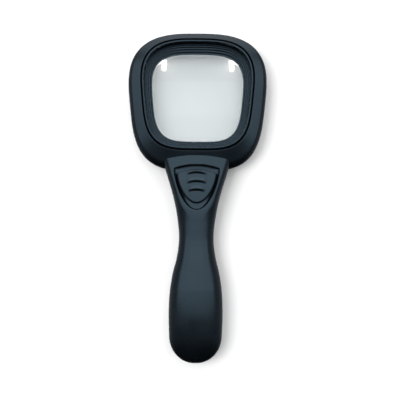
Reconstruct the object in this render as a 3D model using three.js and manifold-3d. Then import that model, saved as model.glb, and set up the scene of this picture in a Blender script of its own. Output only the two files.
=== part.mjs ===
// Hand-held magnifying glass with a lit head, lying on its back.
// Millimetres. +Z is the side the user looks from, +Y runs from the handle to the head,
// and the origin is under the middle of the whole object, on the surface it lies on.
import * as THREE from 'three';
import * as BufferGeometryUtils from 'three/addons/utils/BufferGeometryUtils.js';
import Module from 'manifold-3d';

const wasm = await Module();
wasm.setup();

// ---------------------------------------------------------------- driving dimensions

const GAP = 0.3;                  // clearance between neighbouring pieces
const WALL = 2;                   // moulded wall thickness
const SEAM_Z = 10.5;              // seam between front and rear mouldings
const FRONT_SEAM_Z = SEAM_Z + GAP / 2;
const REAR_SEAM_Z = SEAM_Z - GAP / 2;

// Rounded-square outlines of the head: centre, half width, half height, corner squareness
// above and below the centre, and how much wider the top is than the bottom.
const RIM = { cy: 62.75, a: 44.4, b: 44.75, nTop: 2.88, nBottom: 3.49, taper: 0.097 };
const WELL = { cy: 66.5, a: 33.9, b: 33.7, nTop: 3.0, nBottom: 3.75, taper: 0.09 };
const OPENING = { cy: 65.65, a: 29.4, b: 28.45, nTop: 3.35, nBottom: 3.94, taper: 0.085 };
const OUTLINE_STEPS = 40;

const HEAD_CREST_Z = 19.7;        // highest line of the head's front moulding
const LIP_Z = 20.3;               // top of the thin lip round the well
const LIP_WIDTH = 0.8;
const LIP_FOOT_Z = 18.8;          // outer foot of the lip, from which its outside slopes up
const GROOVE_WIDTH = 1.3;         // from the lip's top to the head moulding, across the slope and the gap
const WELL_WALL_Z = 14.2;         // foot of the steep wall inside the lip
const WELL_STEPS = 5;             // steps of the baffle between that wall and the lens
const STEP_SPREAD = 1.5;          // above 1, treads widen towards the lens
const TREAD_SHARE = 0.55;         // flat part of each step; the rest is its sloping riser
const SHOULDER = 0.34;            // share of the head's width that its rounded shoulder takes
const SLOPE_RISE = 4.6;           // rise of the straight slope from the rim to the groove
const REAR_FLAT = [0.45, 0.88];   // part of the rear rim's width that is flat

const LENS_FLANGE_Z = [8.3, 10.5];
const LENS_APEX_Z = [5.4, 13.4];
const LENS_RADIUS = 245;          // both optical faces
const LENS_FLANGE = 2.35;         // flange width outside the clear opening
const LENS_MIDDLE_Y = OPENING.cy;
const LENS_RINGS = 4;

const LED_X = 22;
const LED_Z = 4.6;
const LED_TIP_Y = 84.2;
const LED_BASE_Y = 91.5;
const LED_RADIUS = 1.5;
const LED_GATE = { x: [19.6, 25.4], y: [94, 97.6], z: [4, 8.8] };   // notch in the pocket's rib for the leads

const TIP_Y = -107.5;             // end of the handle
const COLLAR_APEX_Y = 27.8;       // front edge of the collar
const COLLAR_ARC_RADIUS = 77;
const COLLAR_TILT = 0.0454;       // rise of the collar's flat top per mm towards the handle
const COLLAR_FRONT_Z = 20.5;      // height of that flat at Y = 28
const COLLAR_FRONT_Y = 28;

// Handle sections: [Y, value] through which each smooth dimension runs.
const HALF_WIDTH = [[28, 23.4], [18, 20.4], [0, 15.05], [-15, 12.2], [-27, 11.35], [-38, 12.65],
  [-50, 15.5], [-62, 17.2], [-76, 17.7], [-90, 17.3], [-107.5, 16.7]];
const TOP_HEIGHT = [[28, 13], [0, 13.1], [-10, 11.75], [-20, 11.1], [-28, 10.95], [-42, 12.3], [-58, 13.5]];
const BOTTOM_HEIGHT = [[28, 6.9], [0, 7.1], [-20, 6.9], [-32, 7.3], [-46, 9.3], [-66, 10.5]];
const SQUARENESS = [[28, 3.5], [-4, 3.4], [-16, 2.8], [-28, 2.6], [-60, 2.65], [-107.5, 2.75]];
const DRAFT = 0.07;               // how much each side leans in per unit of height above or below the seam
const TOP_CREST_Y = -58;          // where the front starts to fall to the tip
const BOTTOM_CREST_Y = -66;
const SIDE_END_Y = -90;           // where the sides start to close in on the tip
const TOP_END_POWER = 2.3;
const BOTTOM_END_POWER = 2.6;
const SIDE_END_POWER = 2.1;
const SECTION_STEPS = 32;
const SECTION_YS = [30, 23, 16, 9, 2, -5, -12, -20, -28, -36, -44, -52, -60, -68, -76, -84, -90,
  -94, -98, -101, -103.5, -105.5, -106.8, -107.45];
const HOLLOW_END_Y = -103.5;
const HOLLOW_START_Y = 19;

const RECESS = { apexY: 21.8, cornerY: 19.1, bottomY: -7.1, halfWidth: 14.8 };
const BUTTON = { apexY: 18.5, cornerY: 17.2, bottomY: -3.4, halfWidth: 12.5 };
const SHIELD_POWER = 1.5;         // how full the sides of both shield outlines are
const RECESS_DEPTH = 1.6;
const BUTTON_RISE = 0.5;          // button top above the collar's flat
const STEM_Y = 7;
const STEM = { halfX: 2.6, halfY: 3.2 };
const TRAVEL = 2.5;               // switch travel each way
const KNOB_HALF = 1;
const RIBS = [{ y: 17.0, halfWidth: 5.8 }, { y: 11.4, halfWidth: 5.8 }, { y: 6.1, halfWidth: 4.9 }];
const RIB_HEIGHT = 0.45;
const CEILING_Z = 17.4;           // underside of the thick collar wall
const PAD_END_Y = -14;

const BOARD = { halfX: 8, y: [-9, 14.5], z: [9, 10.2] };
const SWITCH = { halfX: 3.7, halfY: 6.2, z: [10.5, 14.4] };
const TONGUE = { halfX: 9, y: [3.5, 20], z: [6.6, 8.6] };
const TONGUE_PAD_Z = 6.3;

const CELL_RADIUS = 5.25;
const CELL_LENGTH = 44.5;
const CELL_X = 5.45;
const CELL_Z = 10;
const TRAY = { halfX: 11.65, z: [6.3, 12.5, 16.9], ridgeX: 8, y: [-97.5, -43.7] };
const BAY = { halfX: 10.9, z: [5, 12.2, 16.1], ridgeX: 7.7, y: [-96.2, -45] };
const PLATE_THICKNESS = 0.4;
const PLATE_Z = [6.5, 14.2];
const PLATE_REACH = 8.8;

const DOOR_HALF_X = 11.65;
const DOOR_ROOF_Z = 4.3;
const DOOR_ARCH = { sideY: -52, apexY: -42 };
const DOOR_CAP_Y = -95.4;         // the door wraps round the tip behind this line
const TONGUE_TOP_Z = 5.8;
const DOOR_TONGUE = { reach: 1.25, thickness: 0.9, y: [-93, -54] };
const RAIL = { outerX: 13.6, topZ: 8.3, y: [-96, -51] };

const SCREW = { head: 2, headHeight: 1.3, shank: 1, hole: 1.3, recess: 2.3 };
const POST = { front: 2.2, rear: 3.2 };
const POST_INSET = 0.4;           // how far the rear posts stay inside the head's outer skin
const HEAD_SCREW_ANGLES = { upper_right: 28, upper_left: 152, lower_left: -142, lower_right: -38 };
const NECK_SCREW_Y = -31;
const TONGUE_SCREW = { x: 5.4, y: 9 };
const WIRE_RADIUS = 0.5;

// ---------------------------------------------------------------- materials

const material = (color, roughness, metalness = 0, extra = {}) =>
  new THREE.MeshStandardMaterial({ color, roughness, metalness, ...extra });

const satinBlack = () => material(0x1c2126, 0.42);
const bezelBlack = () => material(0x14181c, 0.38);
const innerBlack = () => material(0x17191b, 0.7);
const clearAcrylic = () => material(0xe8eef0, 0.04, 0, { transparent: true, opacity: 0.3 });
const clearEpoxy = () => material(0xeef4f6, 0.1, 0, { transparent: true, opacity: 0.6 });
const nickel = () => material(0xb9bcbe, 0.35, 1);
const cellJacket = () => material(0x3f5f7a, 0.4);
const boardGreen = () => material(0x2f6b45, 0.55);
const resistorTan = () => material(0xc9ab7c, 0.6);
const switchWhite = () => material(0xd8d8d2, 0.5);
const redInsulation = () => material(0xa8231d, 0.5);
const blackInsulation = () => material(0x202020, 0.5);
const zincSteel = () => material(0x9a9da0, 0.4, 1);

// ---------------------------------------------------------------- solids and meshes

const magnifier = new THREE.Group();

function weld(geometry) {
  const bare = new THREE.BufferGeometry();
  bare.setAttribute('position', geometry.getAttribute('position').clone());
  bare.setIndex(geometry.index);
  const merged = BufferGeometryUtils.mergeVertices(bare, 1e-4);
  const source = merged.index.array;
  const kept = [];
  for (let i = 0; i < source.length; i += 3) {
    const [a, b, c] = source.subarray(i, i + 3);
    if (a !== b && b !== c && c !== a) kept.push(a, b, c);
  }
  merged.setIndex(kept);
  return merged;
}

function toSolid(geometry) {
  const welded = weld(geometry);
  return new wasm.Manifold(new wasm.Mesh({
    numProp: 3,
    vertProperties: new Float32Array(welded.getAttribute('position').array),
    triVerts: new Uint32Array(welded.index.array),
  }));
}

function toGeometry(solid) {
  const mesh = solid.getMesh();
  const geometry = new THREE.BufferGeometry();
  geometry.setAttribute('position', new THREE.BufferAttribute(new Float32Array(mesh.vertProperties), 3));
  geometry.setIndex(new THREE.BufferAttribute(new Uint32Array(mesh.triVerts), 1));
  geometry.computeVertexNormals();
  return geometry;
}

function addPiece(name, shape, look) {
  const geometry = shape.isBufferGeometry ? shape : toGeometry(shape);
  const mesh = new THREE.Mesh(geometry, look);
  mesh.name = name;
  magnifier.add(mesh);
  return mesh;
}

const joinAll = (solids) => solids.reduce((whole, solid) => whole.add(solid));
const bothSides = (make) => make(-1).add(make(1));
const sideSpan = (side, near, far) => (side > 0 ? [near, far] : [-far, -near]);

// ---------------------------------------------------------------- basic shapes

function box(x, y, z) {
  const geometry = new THREE.BoxGeometry(x[1] - x[0], y[1] - y[0], z[1] - z[0]);
  geometry.translate((x[0] + x[1]) / 2, (y[0] + y[1]) / 2, (z[0] + z[1]) / 2);
  return toSolid(geometry);
}

function uprightRod(x, y, radius, z, sides = 16) {
  const geometry = new THREE.CylinderGeometry(radius, radius, z[1] - z[0], sides);
  geometry.rotateX(Math.PI / 2);
  geometry.translate(x, y, (z[0] + z[1]) / 2);
  return toSolid(geometry);
}

function lengthwiseRod(x, z, radius, y, sides = 16) {
  const geometry = new THREE.CylinderGeometry(radius, radius, y[1] - y[0], sides);
  geometry.translate(x, (y[0] + y[1]) / 2, z);
  return toSolid(geometry);
}

// Prism along Y from an outline in X and Z.
function lengthwisePrism(corners, y) {
  const shape = new THREE.Shape(corners.map(([x, z]) => new THREE.Vector2(x, z)));
  const geometry = new THREE.ExtrudeGeometry(shape, { depth: y[1] - y[0], bevelEnabled: false });
  geometry.rotateX(Math.PI / 2);
  geometry.translate(0, y[1], 0);
  return toSolid(geometry);
}

function tube(points, radius, steps, sides = 8) {
  const circle = new THREE.Shape();
  for (let i = 0; i < sides; i++) {
    const angle = (i / sides) * 2 * Math.PI;
    const place = [radius * Math.cos(angle), radius * Math.sin(angle)];
    if (i === 0) circle.moveTo(...place);
    else circle.lineTo(...place);
  }
  const path = new THREE.CatmullRomCurve3(points.map((p) => new THREE.Vector3(...p)), false, 'centripetal');
  return weld(new THREE.ExtrudeGeometry(circle, { steps, extrudePath: path, bevelEnabled: false }));
}

// Skin over a row of closed loops. A ring's last loop meets its first; otherwise both ends
// are capped by a fan from the middle of the end loop.
function skin(loops, isRing = false) {
  const count = loops[0].length;
  const points = loops.flat();
  const index = [];
  const lastPair = isRing ? loops.length : loops.length - 1;
  for (let j = 0; j < lastPair; j++) {
    const here = j * count;
    const there = ((j + 1) % loops.length) * count;
    for (let i = 0; i < count; i++) {
      const k = (i + 1) % count;
      index.push(here + i, here + k, there + k);
      index.push(here + i, there + k, there + i);
    }
  }
  if (!isRing) {
    for (const [start, forward] of [[0, false], [(loops.length - 1) * count, true]]) {
      const middle = new THREE.Vector3();
      for (let i = 0; i < count; i++) middle.add(points[start + i]);
      points.push(middle.divideScalar(count));
      for (let i = 0; i < count; i++) {
        const pair = [start + i, start + ((i + 1) % count)];
        index.push(...(forward ? pair : pair.reverse()), points.length - 1);
      }
    }
  }
  const geometry = new THREE.BufferGeometry().setFromPoints(points);
  geometry.setIndex(index);
  if (signedVolume(points, index) < 0) geometry.setIndex(index.reverse());
  return geometry;
}

function signedVolume(points, index) {
  let volume = 0;
  for (let i = 0; i < index.length; i += 3) {
    const [a, b, c] = [points[index[i]], points[index[i + 1]], points[index[i + 2]]];
    volume += a.dot(new THREE.Vector3().crossVectors(b, c)) / 6;
  }
  return volume;
}

// A smooth value through [Y, value] pairs listed from high Y to low Y.
function smooth(pairs, y) {
  const clamped = Math.min(Math.max(y, pairs[pairs.length - 1][0]), pairs[0][0]);
  let i = pairs.findIndex((pair, k) => k < pairs.length - 1 && clamped >= pairs[k + 1][0]);
  if (i < 0) i = pairs.length - 2;
  const slopeAt = (k) => {
    const before = pairs[Math.max(k - 1, 0)];
    const after = pairs[Math.min(k + 1, pairs.length - 1)];
    return (after[1] - before[1]) / (after[0] - before[0]);
  };
  const [y0, v0] = pairs[i];
  const [y1, v1] = pairs[i + 1];
  const t = (clamped - y0) / (y1 - y0);
  const span = y1 - y0;
  return v0 * (1 + 2 * t) * (1 - t) ** 2 + slopeAt(i) * span * t * (1 - t) ** 2
    + v1 * t * t * (3 - 2 * t) + slopeAt(i + 1) * span * t * t * (t - 1);
}

// ---------------------------------------------------------------- head outlines

function outlinePoint(outline, angle, offset) {
  const cos = Math.cos(angle);
  const sin = Math.sin(angle);
  const n = sin >= 0 ? outline.nTop : outline.nBottom;
  const reach = (Math.abs(cos) ** n + Math.abs(sin) ** n) ** (-1 / n);
  const v = sin * reach;
  const width = (outline.a + offset) * (1 + outline.taper * v);
  return new THREE.Vector2(width * cos * reach, outline.cy + (outline.b + offset) * v);
}

const line = (outline, offset = 0) => (angle) => outlinePoint(outline, angle, offset);
const between = (from, to, share) => (angle) => from(angle).lerp(to(angle), share);

// One closed loop round the head along a line, at one height.
function headLoop(along, z) {
  return Array.from({ length: OUTLINE_STEPS }, (_, i) => {
    const p = along((i / OUTLINE_STEPS) * 2 * Math.PI);
    return new THREE.Vector3(p.x, p.y, z);
  });
}

const headRing = (profile) => skin(profile.map(([along, z]) => headLoop(along, z)), true);
const headBlock = (profile) => skin(profile.map(([along, z]) => headLoop(along, z)));

// Quarter ellipse between the line `from` at seam height and the line `to` at full height.
function quarterRound(from, to, seamZ, height, steps) {
  return Array.from({ length: steps + 1 }, (_, i) => {
    const angle = (i / steps) * Math.PI / 2;
    return [between(from, to, 1 - Math.cos(angle)), seamZ + height * Math.sin(angle)];
  });
}

// The head's front: a quarter-ellipse shoulder from the rim, then a straight slope to the inner line.
function shouldered(rim, inner, height, steps) {
  const shoulder = Array.from({ length: steps + 1 }, (_, i) => {
    const angle = (i / steps) * Math.PI / 2;
    const share = SHOULDER * (1 - Math.cos(angle));
    return [between(rim, inner, share), FRONT_SEAM_Z + (height - SLOPE_RISE) * Math.sin(angle) + SLOPE_RISE * share];
  });
  return [...shoulder, [inner, FRONT_SEAM_Z + height]];
}

// ---------------------------------------------------------------- head

const headInner = line(WELL, LIP_WIDTH + GROOVE_WIDTH);
const headScrewPlaces = Object.entries(HEAD_SCREW_ANGLES).map(([name, degrees]) => {
  const across = between(line(OPENING, LENS_FLANGE + 1.9), line(RIM, -WALL), 0.55);
  return { name, at: across(THREE.MathUtils.degToRad(degrees)) };
});

function headFrontShell() {
  const legOuter = line(WELL, LIP_WIDTH + GROOVE_WIDTH + 1.5);
  const crown = shouldered(line(RIM), headInner, HEAD_CREST_Z - FRONT_SEAM_Z, 6);
  const roof = shouldered(line(RIM, -WALL), legOuter, HEAD_CREST_Z - FRONT_SEAM_Z - WALL, 4);
  const profile = [
    ...crown,
    [headInner, FRONT_SEAM_Z],
    [legOuter, FRONT_SEAM_Z],
    ...roof.reverse(),
  ];
  let shell = toSolid(headRing(profile));
  for (const { at } of headScrewPlaces) {
    shell = shell.add(uprightRod(at.x, at.y, POST.front, [FRONT_SEAM_Z, 16.6]));
    shell = shell.subtract(uprightRod(at.x, at.y, SCREW.hole, [FRONT_SEAM_Z - 1, 15.4], 12));
  }
  addPiece('head_front_shell', shell, satinBlack());
}

function headRearShell() {
  const inside = line(OPENING, 0.8);
  const pocket = line(OPENING, LENS_FLANGE + 0.4);
  const rib = line(OPENING, LENS_FLANGE + 1.9);
  const flatStart = between(line(RIM), inside, REAR_FLAT[0]);
  const profile = [
    ...quarterRound(line(RIM), flatStart, REAR_SEAM_Z, -REAR_SEAM_Z, 5),
    [between(line(RIM), inside, REAR_FLAT[1]), 0],
    [inside, 1.4],
    [inside, LENS_FLANGE_Z[0] - GAP],
    [pocket, LENS_FLANGE_Z[0] - GAP],
    [pocket, REAR_SEAM_Z],
    [rib, REAR_SEAM_Z],
    [rib, WALL],
    [between(line(RIM, -WALL), rib, 0.4), WALL],
    [line(RIM, -WALL), 6],
    [line(RIM, -WALL), REAR_SEAM_Z],
  ];
  const inRim = line(RIM, -POST_INSET);
  const filled = toSolid(headBlock(quarterRound(inRim, between(inRim, inside, REAR_FLAT[0]),
    REAR_SEAM_Z, POST_INSET - REAR_SEAM_Z, 5).reverse()));
  let shell = toSolid(headRing(profile));
  shell = shell.add(box([-TONGUE.halfX, TONGUE.halfX], TONGUE.y, TONGUE.z));
  for (const { at } of headScrewPlaces) {
    shell = shell.add(uprightRod(at.x, at.y, POST.rear, [1, REAR_SEAM_Z]).intersect(filled));
    shell = shell.subtract(uprightRod(at.x, at.y, SCREW.recess, [-1, 3]));
    shell = shell.subtract(uprightRod(at.x, at.y, SCREW.hole, [2, REAR_SEAM_Z + 1], 12));
  }
  for (const side of [-1, 1]) {
    shell = shell.subtract(lengthwiseRod(side * LED_X, LED_Z, 2.2, [LED_TIP_Y + 2, 97]));
    shell = shell.subtract(box(sideSpan(side, ...LED_GATE.x), LED_GATE.y, LED_GATE.z));
    shell = shell.subtract(uprightRod(side * TONGUE_SCREW.x, TONGUE_SCREW.y, SCREW.hole, [5, 10], 12));
  }
  const wireGate = box([-8.5, 8.5], [15, 23], [9, 12]);
  addPiece('head_rear_shell', shell.subtract(wireGate), satinBlack());
}

function steppedBezel() {
  const wellLine = line(WELL);
  const openingLine = line(OPENING);
  const lastTreadZ = LENS_FLANGE_Z[1] + 0.9;
  const undersideZ = LENS_FLANGE_Z[1] + GAP;
  const groovedWall = line(WELL, LIP_WIDTH + GROOVE_WIDTH - GAP);
  const profile = [
    [groovedWall, undersideZ],
    [groovedWall, LIP_FOOT_Z],
    [line(WELL, LIP_WIDTH), LIP_Z],
    [wellLine, LIP_Z],
  ];
  for (let i = 0; i < WELL_STEPS; i++) {
    const treadZ = WELL_WALL_Z + (lastTreadZ - WELL_WALL_Z) * (i / (WELL_STEPS - 1));
    const start = (i / WELL_STEPS) ** STEP_SPREAD;
    const end = ((i + 1) / WELL_STEPS) ** STEP_SPREAD;
    const foot = end - (end - start) * TREAD_SHARE;
    profile.push([between(wellLine, openingLine, foot), treadZ]);
    profile.push([between(wellLine, openingLine, end), treadZ]);
  }
  profile.push([openingLine, undersideZ]);
  addPiece('stepped_bezel', headRing(profile), bezelBlack());
}

function lens() {
  const middle = new THREE.Vector2(0, LENS_MIDDLE_Y);
  const opticalEdge = line(OPENING, -0.35);
  const flangeEdge = line(OPENING, LENS_FLANGE);
  const dome = (share, apexZ, towards) => Array.from({ length: OUTLINE_STEPS }, (_, i) => {
    const p = middle.clone().lerp(opticalEdge((i / OUTLINE_STEPS) * 2 * Math.PI), share);
    const sag = p.distanceToSquared(middle) / (2 * LENS_RADIUS);
    return new THREE.Vector3(p.x, p.y, apexZ - towards * sag);
  });
  const shares = Array.from({ length: LENS_RINGS }, (_, i) => (i + 1) / LENS_RINGS);
  const loops = [
    ...shares.map((share) => dome(share, LENS_APEX_Z[0], -1)),
    headLoop(line(OPENING, -0.3), LENS_FLANGE_Z[0]),
    headLoop(flangeEdge, LENS_FLANGE_Z[0]),
    headLoop(flangeEdge, LENS_FLANGE_Z[1]),
    headLoop(line(OPENING, -0.3), LENS_FLANGE_Z[1]),
    ...shares.reverse().map((share) => dome(share, LENS_APEX_Z[1], 1)),
  ];
  addPiece('lens', skin(loops), clearAcrylic());
}

function led(side, name) {
  const domeStart = LED_TIP_Y + LED_RADIUS;
  const profile = [new THREE.Vector2(0, LED_TIP_Y)];
  for (let i = 1; i <= 4; i++) {
    const angle = (i / 4) * Math.PI / 2;
    profile.push(new THREE.Vector2(LED_RADIUS * Math.sin(angle), domeStart - LED_RADIUS * Math.cos(angle)));
  }
  profile.push(new THREE.Vector2(LED_RADIUS, LED_BASE_Y - 1));
  profile.push(new THREE.Vector2(LED_RADIUS + 0.35, LED_BASE_Y - 1));
  profile.push(new THREE.Vector2(LED_RADIUS + 0.35, LED_BASE_Y));
  profile.push(new THREE.Vector2(0, LED_BASE_Y));
  const body = new THREE.LatheGeometry(profile, 14);
  body.translate(side * LED_X, 0, LED_Z);
  const legs = [-0.64, 0.64].map((x) =>
    box([side * LED_X + x - 0.25, side * LED_X + x + 0.25], [LED_BASE_Y - 0.5, LED_BASE_Y + 3],
      [LED_Z - 0.25, LED_Z + 0.25]));
  addPiece(name, joinAll([toSolid(body), ...legs]), clearEpoxy());
}

// Wires follow the channel beside the lens pocket, from each LED round to the collar.
function ledWire(side, name, startX, z, endX, look) {
  const channel = line(OPENING, LENS_FLANGE + 2.8);
  const points = [[side * startX, LED_BASE_Y + 3.8, LED_Z], [side * (startX + 0.8), LED_BASE_Y + 5.1, z - 2.4]];
  for (let degrees = 42; degrees >= -64; degrees -= 13) {
    const p = channel(THREE.MathUtils.degToRad(degrees));
    points.push([side * p.x, p.y, z]);
  }
  points.push([side * (endX + 3), 25.5, 9.6], [side * endX, 20, 9.6], [side * endX, BOARD.y[1] + GAP, 9.6]);
  addPiece(name, tube(points, WIRE_RADIUS, 30, 6), look);
}

// ---------------------------------------------------------------- handle body

function endShare(y, startY, power) {
  if (y >= startY) return 1;
  const v = (startY - y) / (startY - TIP_Y);
  return (1 - v ** power) ** (1 / power);
}

function handleLoop(y, inset) {
  const halfWidth = smooth(HALF_WIDTH, y) * endShare(y, SIDE_END_Y, SIDE_END_POWER) - inset;
  const top = smooth(TOP_HEIGHT, y) * endShare(y, TOP_CREST_Y, TOP_END_POWER) - inset;
  const bottom = smooth(BOTTOM_HEIGHT, y) * endShare(y, BOTTOM_CREST_Y, BOTTOM_END_POWER) - inset;
  const n = smooth(SQUARENESS, y);
  return Array.from({ length: SECTION_STEPS }, (_, i) => {
    const angle = (i / SECTION_STEPS) * 2 * Math.PI;
    const reach = (Math.abs(Math.cos(angle)) ** n + Math.abs(Math.sin(angle)) ** n) ** (-1 / n);
    const rise = Math.sin(angle) * reach * (Math.sin(angle) > 0 ? top : bottom);
    const across = Math.cos(angle) * reach * (halfWidth - DRAFT * Math.abs(rise));
    return new THREE.Vector3(across, y, SEAM_Z + rise);
  });
}

// Slab along the collar's flat top, from one height above it to another.
function collarSlab(yRange, low, high, halfX = 40) {
  const corners = [[yRange[0], low], [yRange[1], low], [yRange[1], high], [yRange[0], high]];
  const shape = new THREE.Shape(corners.map(([y, z]) =>
    new THREE.Vector2(y, COLLAR_FRONT_Z + (COLLAR_FRONT_Y - y) * COLLAR_TILT + z)));
  const geometry = new THREE.ExtrudeGeometry(shape, { depth: 2 * halfX, bevelEnabled: false });
  geometry.rotateY(Math.PI / 2);
  geometry.rotateX(Math.PI / 2);
  geometry.translate(-halfX, 0, 0);
  return toSolid(geometry);
}

// Upright prism through the whole object from an outline in X and Y.
function uprightPrism(shape, z, arcSteps = 12) {
  const geometry = new THREE.ExtrudeGeometry(shape, {
    depth: z[1] - z[0], bevelEnabled: false, curveSegments: arcSteps,
  });
  geometry.translate(0, 0, z[0]);
  return toSolid(geometry);
}

function collarArc() {
  const centreY = COLLAR_APEX_Y - COLLAR_ARC_RADIUS;
  const spread = Math.asin(30 / COLLAR_ARC_RADIUS);
  const shape = new THREE.Shape();
  shape.moveTo(-30, TIP_Y - 5);
  shape.lineTo(30, TIP_Y - 5);
  shape.absarc(0, centreY, COLLAR_ARC_RADIUS, Math.PI / 2 - spread, Math.PI / 2 + spread);
  return uprightPrism(shape, [-5, 40], 14);
}

// Shield outline: an arc across the top and full sides that close in a round bottom.
function shield(size, grow = 0, sideSteps = 9) {
  const halfWidth = size.halfWidth + grow;
  const cornerY = size.cornerY + grow * 0.6;
  const sagitta = size.apexY + grow - cornerY;
  const bottomY = size.bottomY - grow;
  const points = [];
  for (let i = 0; i <= sideSteps; i++) {
    const v = Math.sin((i / sideSteps) * Math.PI / 2);
    points.push([halfWidth * Math.sqrt(1 - v ** SHIELD_POWER), cornerY - (cornerY - bottomY) * v]);
  }
  for (let i = sideSteps - 1; i >= 0; i--) points.push([-points[i][0], points[i][1]]);
  for (let i = 1; i < 6; i++) {
    const share = -1 + i / 3;
    points.push([halfWidth * share, cornerY + sagitta * (1 - share * share)]);
  }
  return new THREE.Shape(points.map(([x, y]) => new THREE.Vector2(x, y)).reverse());
}

function headEnvelope() {
  const rim = line(RIM, GAP);
  const inner = line(WELL, 1);
  const rearFlat = between(rim, line(OPENING, 0.8), REAR_FLAT[0]);
  const lower = quarterRound(rim, rearFlat, REAR_SEAM_Z, -REAR_SEAM_Z - GAP, 6).reverse();
  const upper = shouldered(rim, inner, HEAD_CREST_Z + GAP - FRONT_SEAM_Z, 7);
  return toSolid(headBlock([...lower, ...upper]));
}

function handleSolids() {
  const outer = toSolid(skin(SECTION_YS.map((y) => handleLoop(y, 0))));
  const inner = toSolid(skin([HOLLOW_START_Y, ...SECTION_YS.filter((y) => y < 18 && y > HOLLOW_END_Y + 1),
    HOLLOW_END_Y].map((y) => handleLoop(y, WALL))));
  const trimmed = outer.intersect(collarArc()).subtract(collarSlab([-20, 40], 0, 20)).subtract(headEnvelope());
  return { body: trimmed, hollow: inner };
}

function trayEnvelope() {
  const { halfX, z, ridgeX, y } = TRAY;
  const corners = [[-halfX - GAP, z[0] - GAP], [halfX + GAP, z[0] - GAP], [halfX + GAP, z[1] + 0.1],
    [ridgeX + 0.1, z[2] + GAP], [-ridgeX - 0.1, z[2] + GAP], [-halfX - GAP, z[1] + 0.1]];
  return lengthwisePrism(corners, [y[0] - GAP, y[1] + GAP]);
}

function handleFrontShell({ body, hollow }) {
  const pad = box([-20, 20], [PAD_END_Y, 30], [CEILING_Z, 40]);
  let shell = body.intersect(box([-40, 40], [-120, 40], [FRONT_SEAM_Z, 40])).subtract(hollow.subtract(pad));
  shell = shell.subtract(trayEnvelope());
  const recess = uprightPrism(shield(RECESS), [0, 40]).intersect(collarSlab([-20, 30], -RECESS_DEPTH, 5));
  shell = shell.subtract(recess);
  shell = shell.subtract(box([-STEM.halfX - GAP, STEM.halfX + GAP],
    [STEM_Y - STEM.halfY - TRAVEL - 0.4, STEM_Y + STEM.halfY + TRAVEL + 0.4], [12, 30]));
  const post = uprightRod(0, NECK_SCREW_Y, POST.front, [FRONT_SEAM_Z, 20]).intersect(body);
  shell = shell.add(post).subtract(uprightRod(0, NECK_SCREW_Y, SCREW.hole, [8, 17], 12));
  addPiece('handle_front_shell', shell, satinBlack());
}

function doorRegion(grow) {
  const halfX = DOOR_HALF_X + grow;
  const arch = new THREE.Shape();
  arch.moveTo(-halfX, TIP_Y - 5);
  arch.lineTo(halfX, TIP_Y - 5);
  arch.lineTo(halfX, DOOR_ARCH.sideY + grow);
  arch.quadraticCurveTo(halfX * 0.72, DOOR_ARCH.apexY + grow, 0, DOOR_ARCH.apexY + grow);
  arch.quadraticCurveTo(-halfX * 0.72, DOOR_ARCH.apexY + grow, -halfX, DOOR_ARCH.sideY + grow);
  const plate = uprightPrism(arch, [-5, DOOR_ROOF_Z + grow], 6);
  return plate.add(box([-40, 40], [-120, DOOR_CAP_Y + grow], [-5, REAR_SEAM_Z]));
}

function handleRearShell({ body, hollow }) {
  const rearHalf = body.intersect(box([-40, 40], [-120, 40], [-5, REAR_SEAM_Z]));
  const floorPad = box([-40, 40], [-2, 17.2], [0, TONGUE_PAD_Z]);
  let shell = rearHalf.subtract(hollow.subtract(floorPad));
  const rails = bothSides((side) => box(sideSpan(side, DOOR_HALF_X + GAP, RAIL.outerX), RAIL.y, [0, RAIL.topZ]));
  shell = shell.add(rails.intersect(rearHalf));
  shell = shell.subtract(doorRegion(GAP)).subtract(trayEnvelope());
  const grooveHalfX = DOOR_HALF_X + DOOR_TONGUE.reach + GAP;
  shell = shell.subtract(box([-grooveHalfX, grooveHalfX], [-110, DOOR_TONGUE.y[1] + 1],
    [TONGUE_TOP_Z - DOOR_TONGUE.thickness - GAP, TONGUE_TOP_Z + GAP]));
  shell = shell.add(uprightRod(0, NECK_SCREW_Y, POST.rear, [4, REAR_SEAM_Z]).intersect(rearHalf));
  for (const [x, y, top] of [[0, NECK_SCREW_Y, 12], [-TONGUE_SCREW.x, TONGUE_SCREW.y, 8], [TONGUE_SCREW.x, TONGUE_SCREW.y, 8]]) {
    shell = shell.subtract(uprightRod(x, y, SCREW.recess, [0, 5]));
    shell = shell.subtract(uprightRod(x, y, SCREW.hole, [4, top], 12));
  }
  addPiece('handle_rear_shell', shell, satinBlack());
}

function batteryCover({ body, hollow }) {
  let door = body.intersect(doorRegion(0)).subtract(hollow).subtract(trayEnvelope());
  const walls = bothSides((side) =>
    box(sideSpan(side, DOOR_HALF_X - 1.25, DOOR_HALF_X), [DOOR_CAP_Y - 2, DOOR_TONGUE.y[1]], [2.6, TONGUE_TOP_Z]));
  const tongues = bothSides((side) => box(sideSpan(side, DOOR_HALF_X - 0.5, DOOR_HALF_X + DOOR_TONGUE.reach),
    DOOR_TONGUE.y, [TONGUE_TOP_Z - DOOR_TONGUE.thickness, TONGUE_TOP_Z]));
  door = door.add(walls.intersect(body)).add(tongues);
  addPiece('battery_cover', door, satinBlack());
}

// ---------------------------------------------------------------- switch

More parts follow.
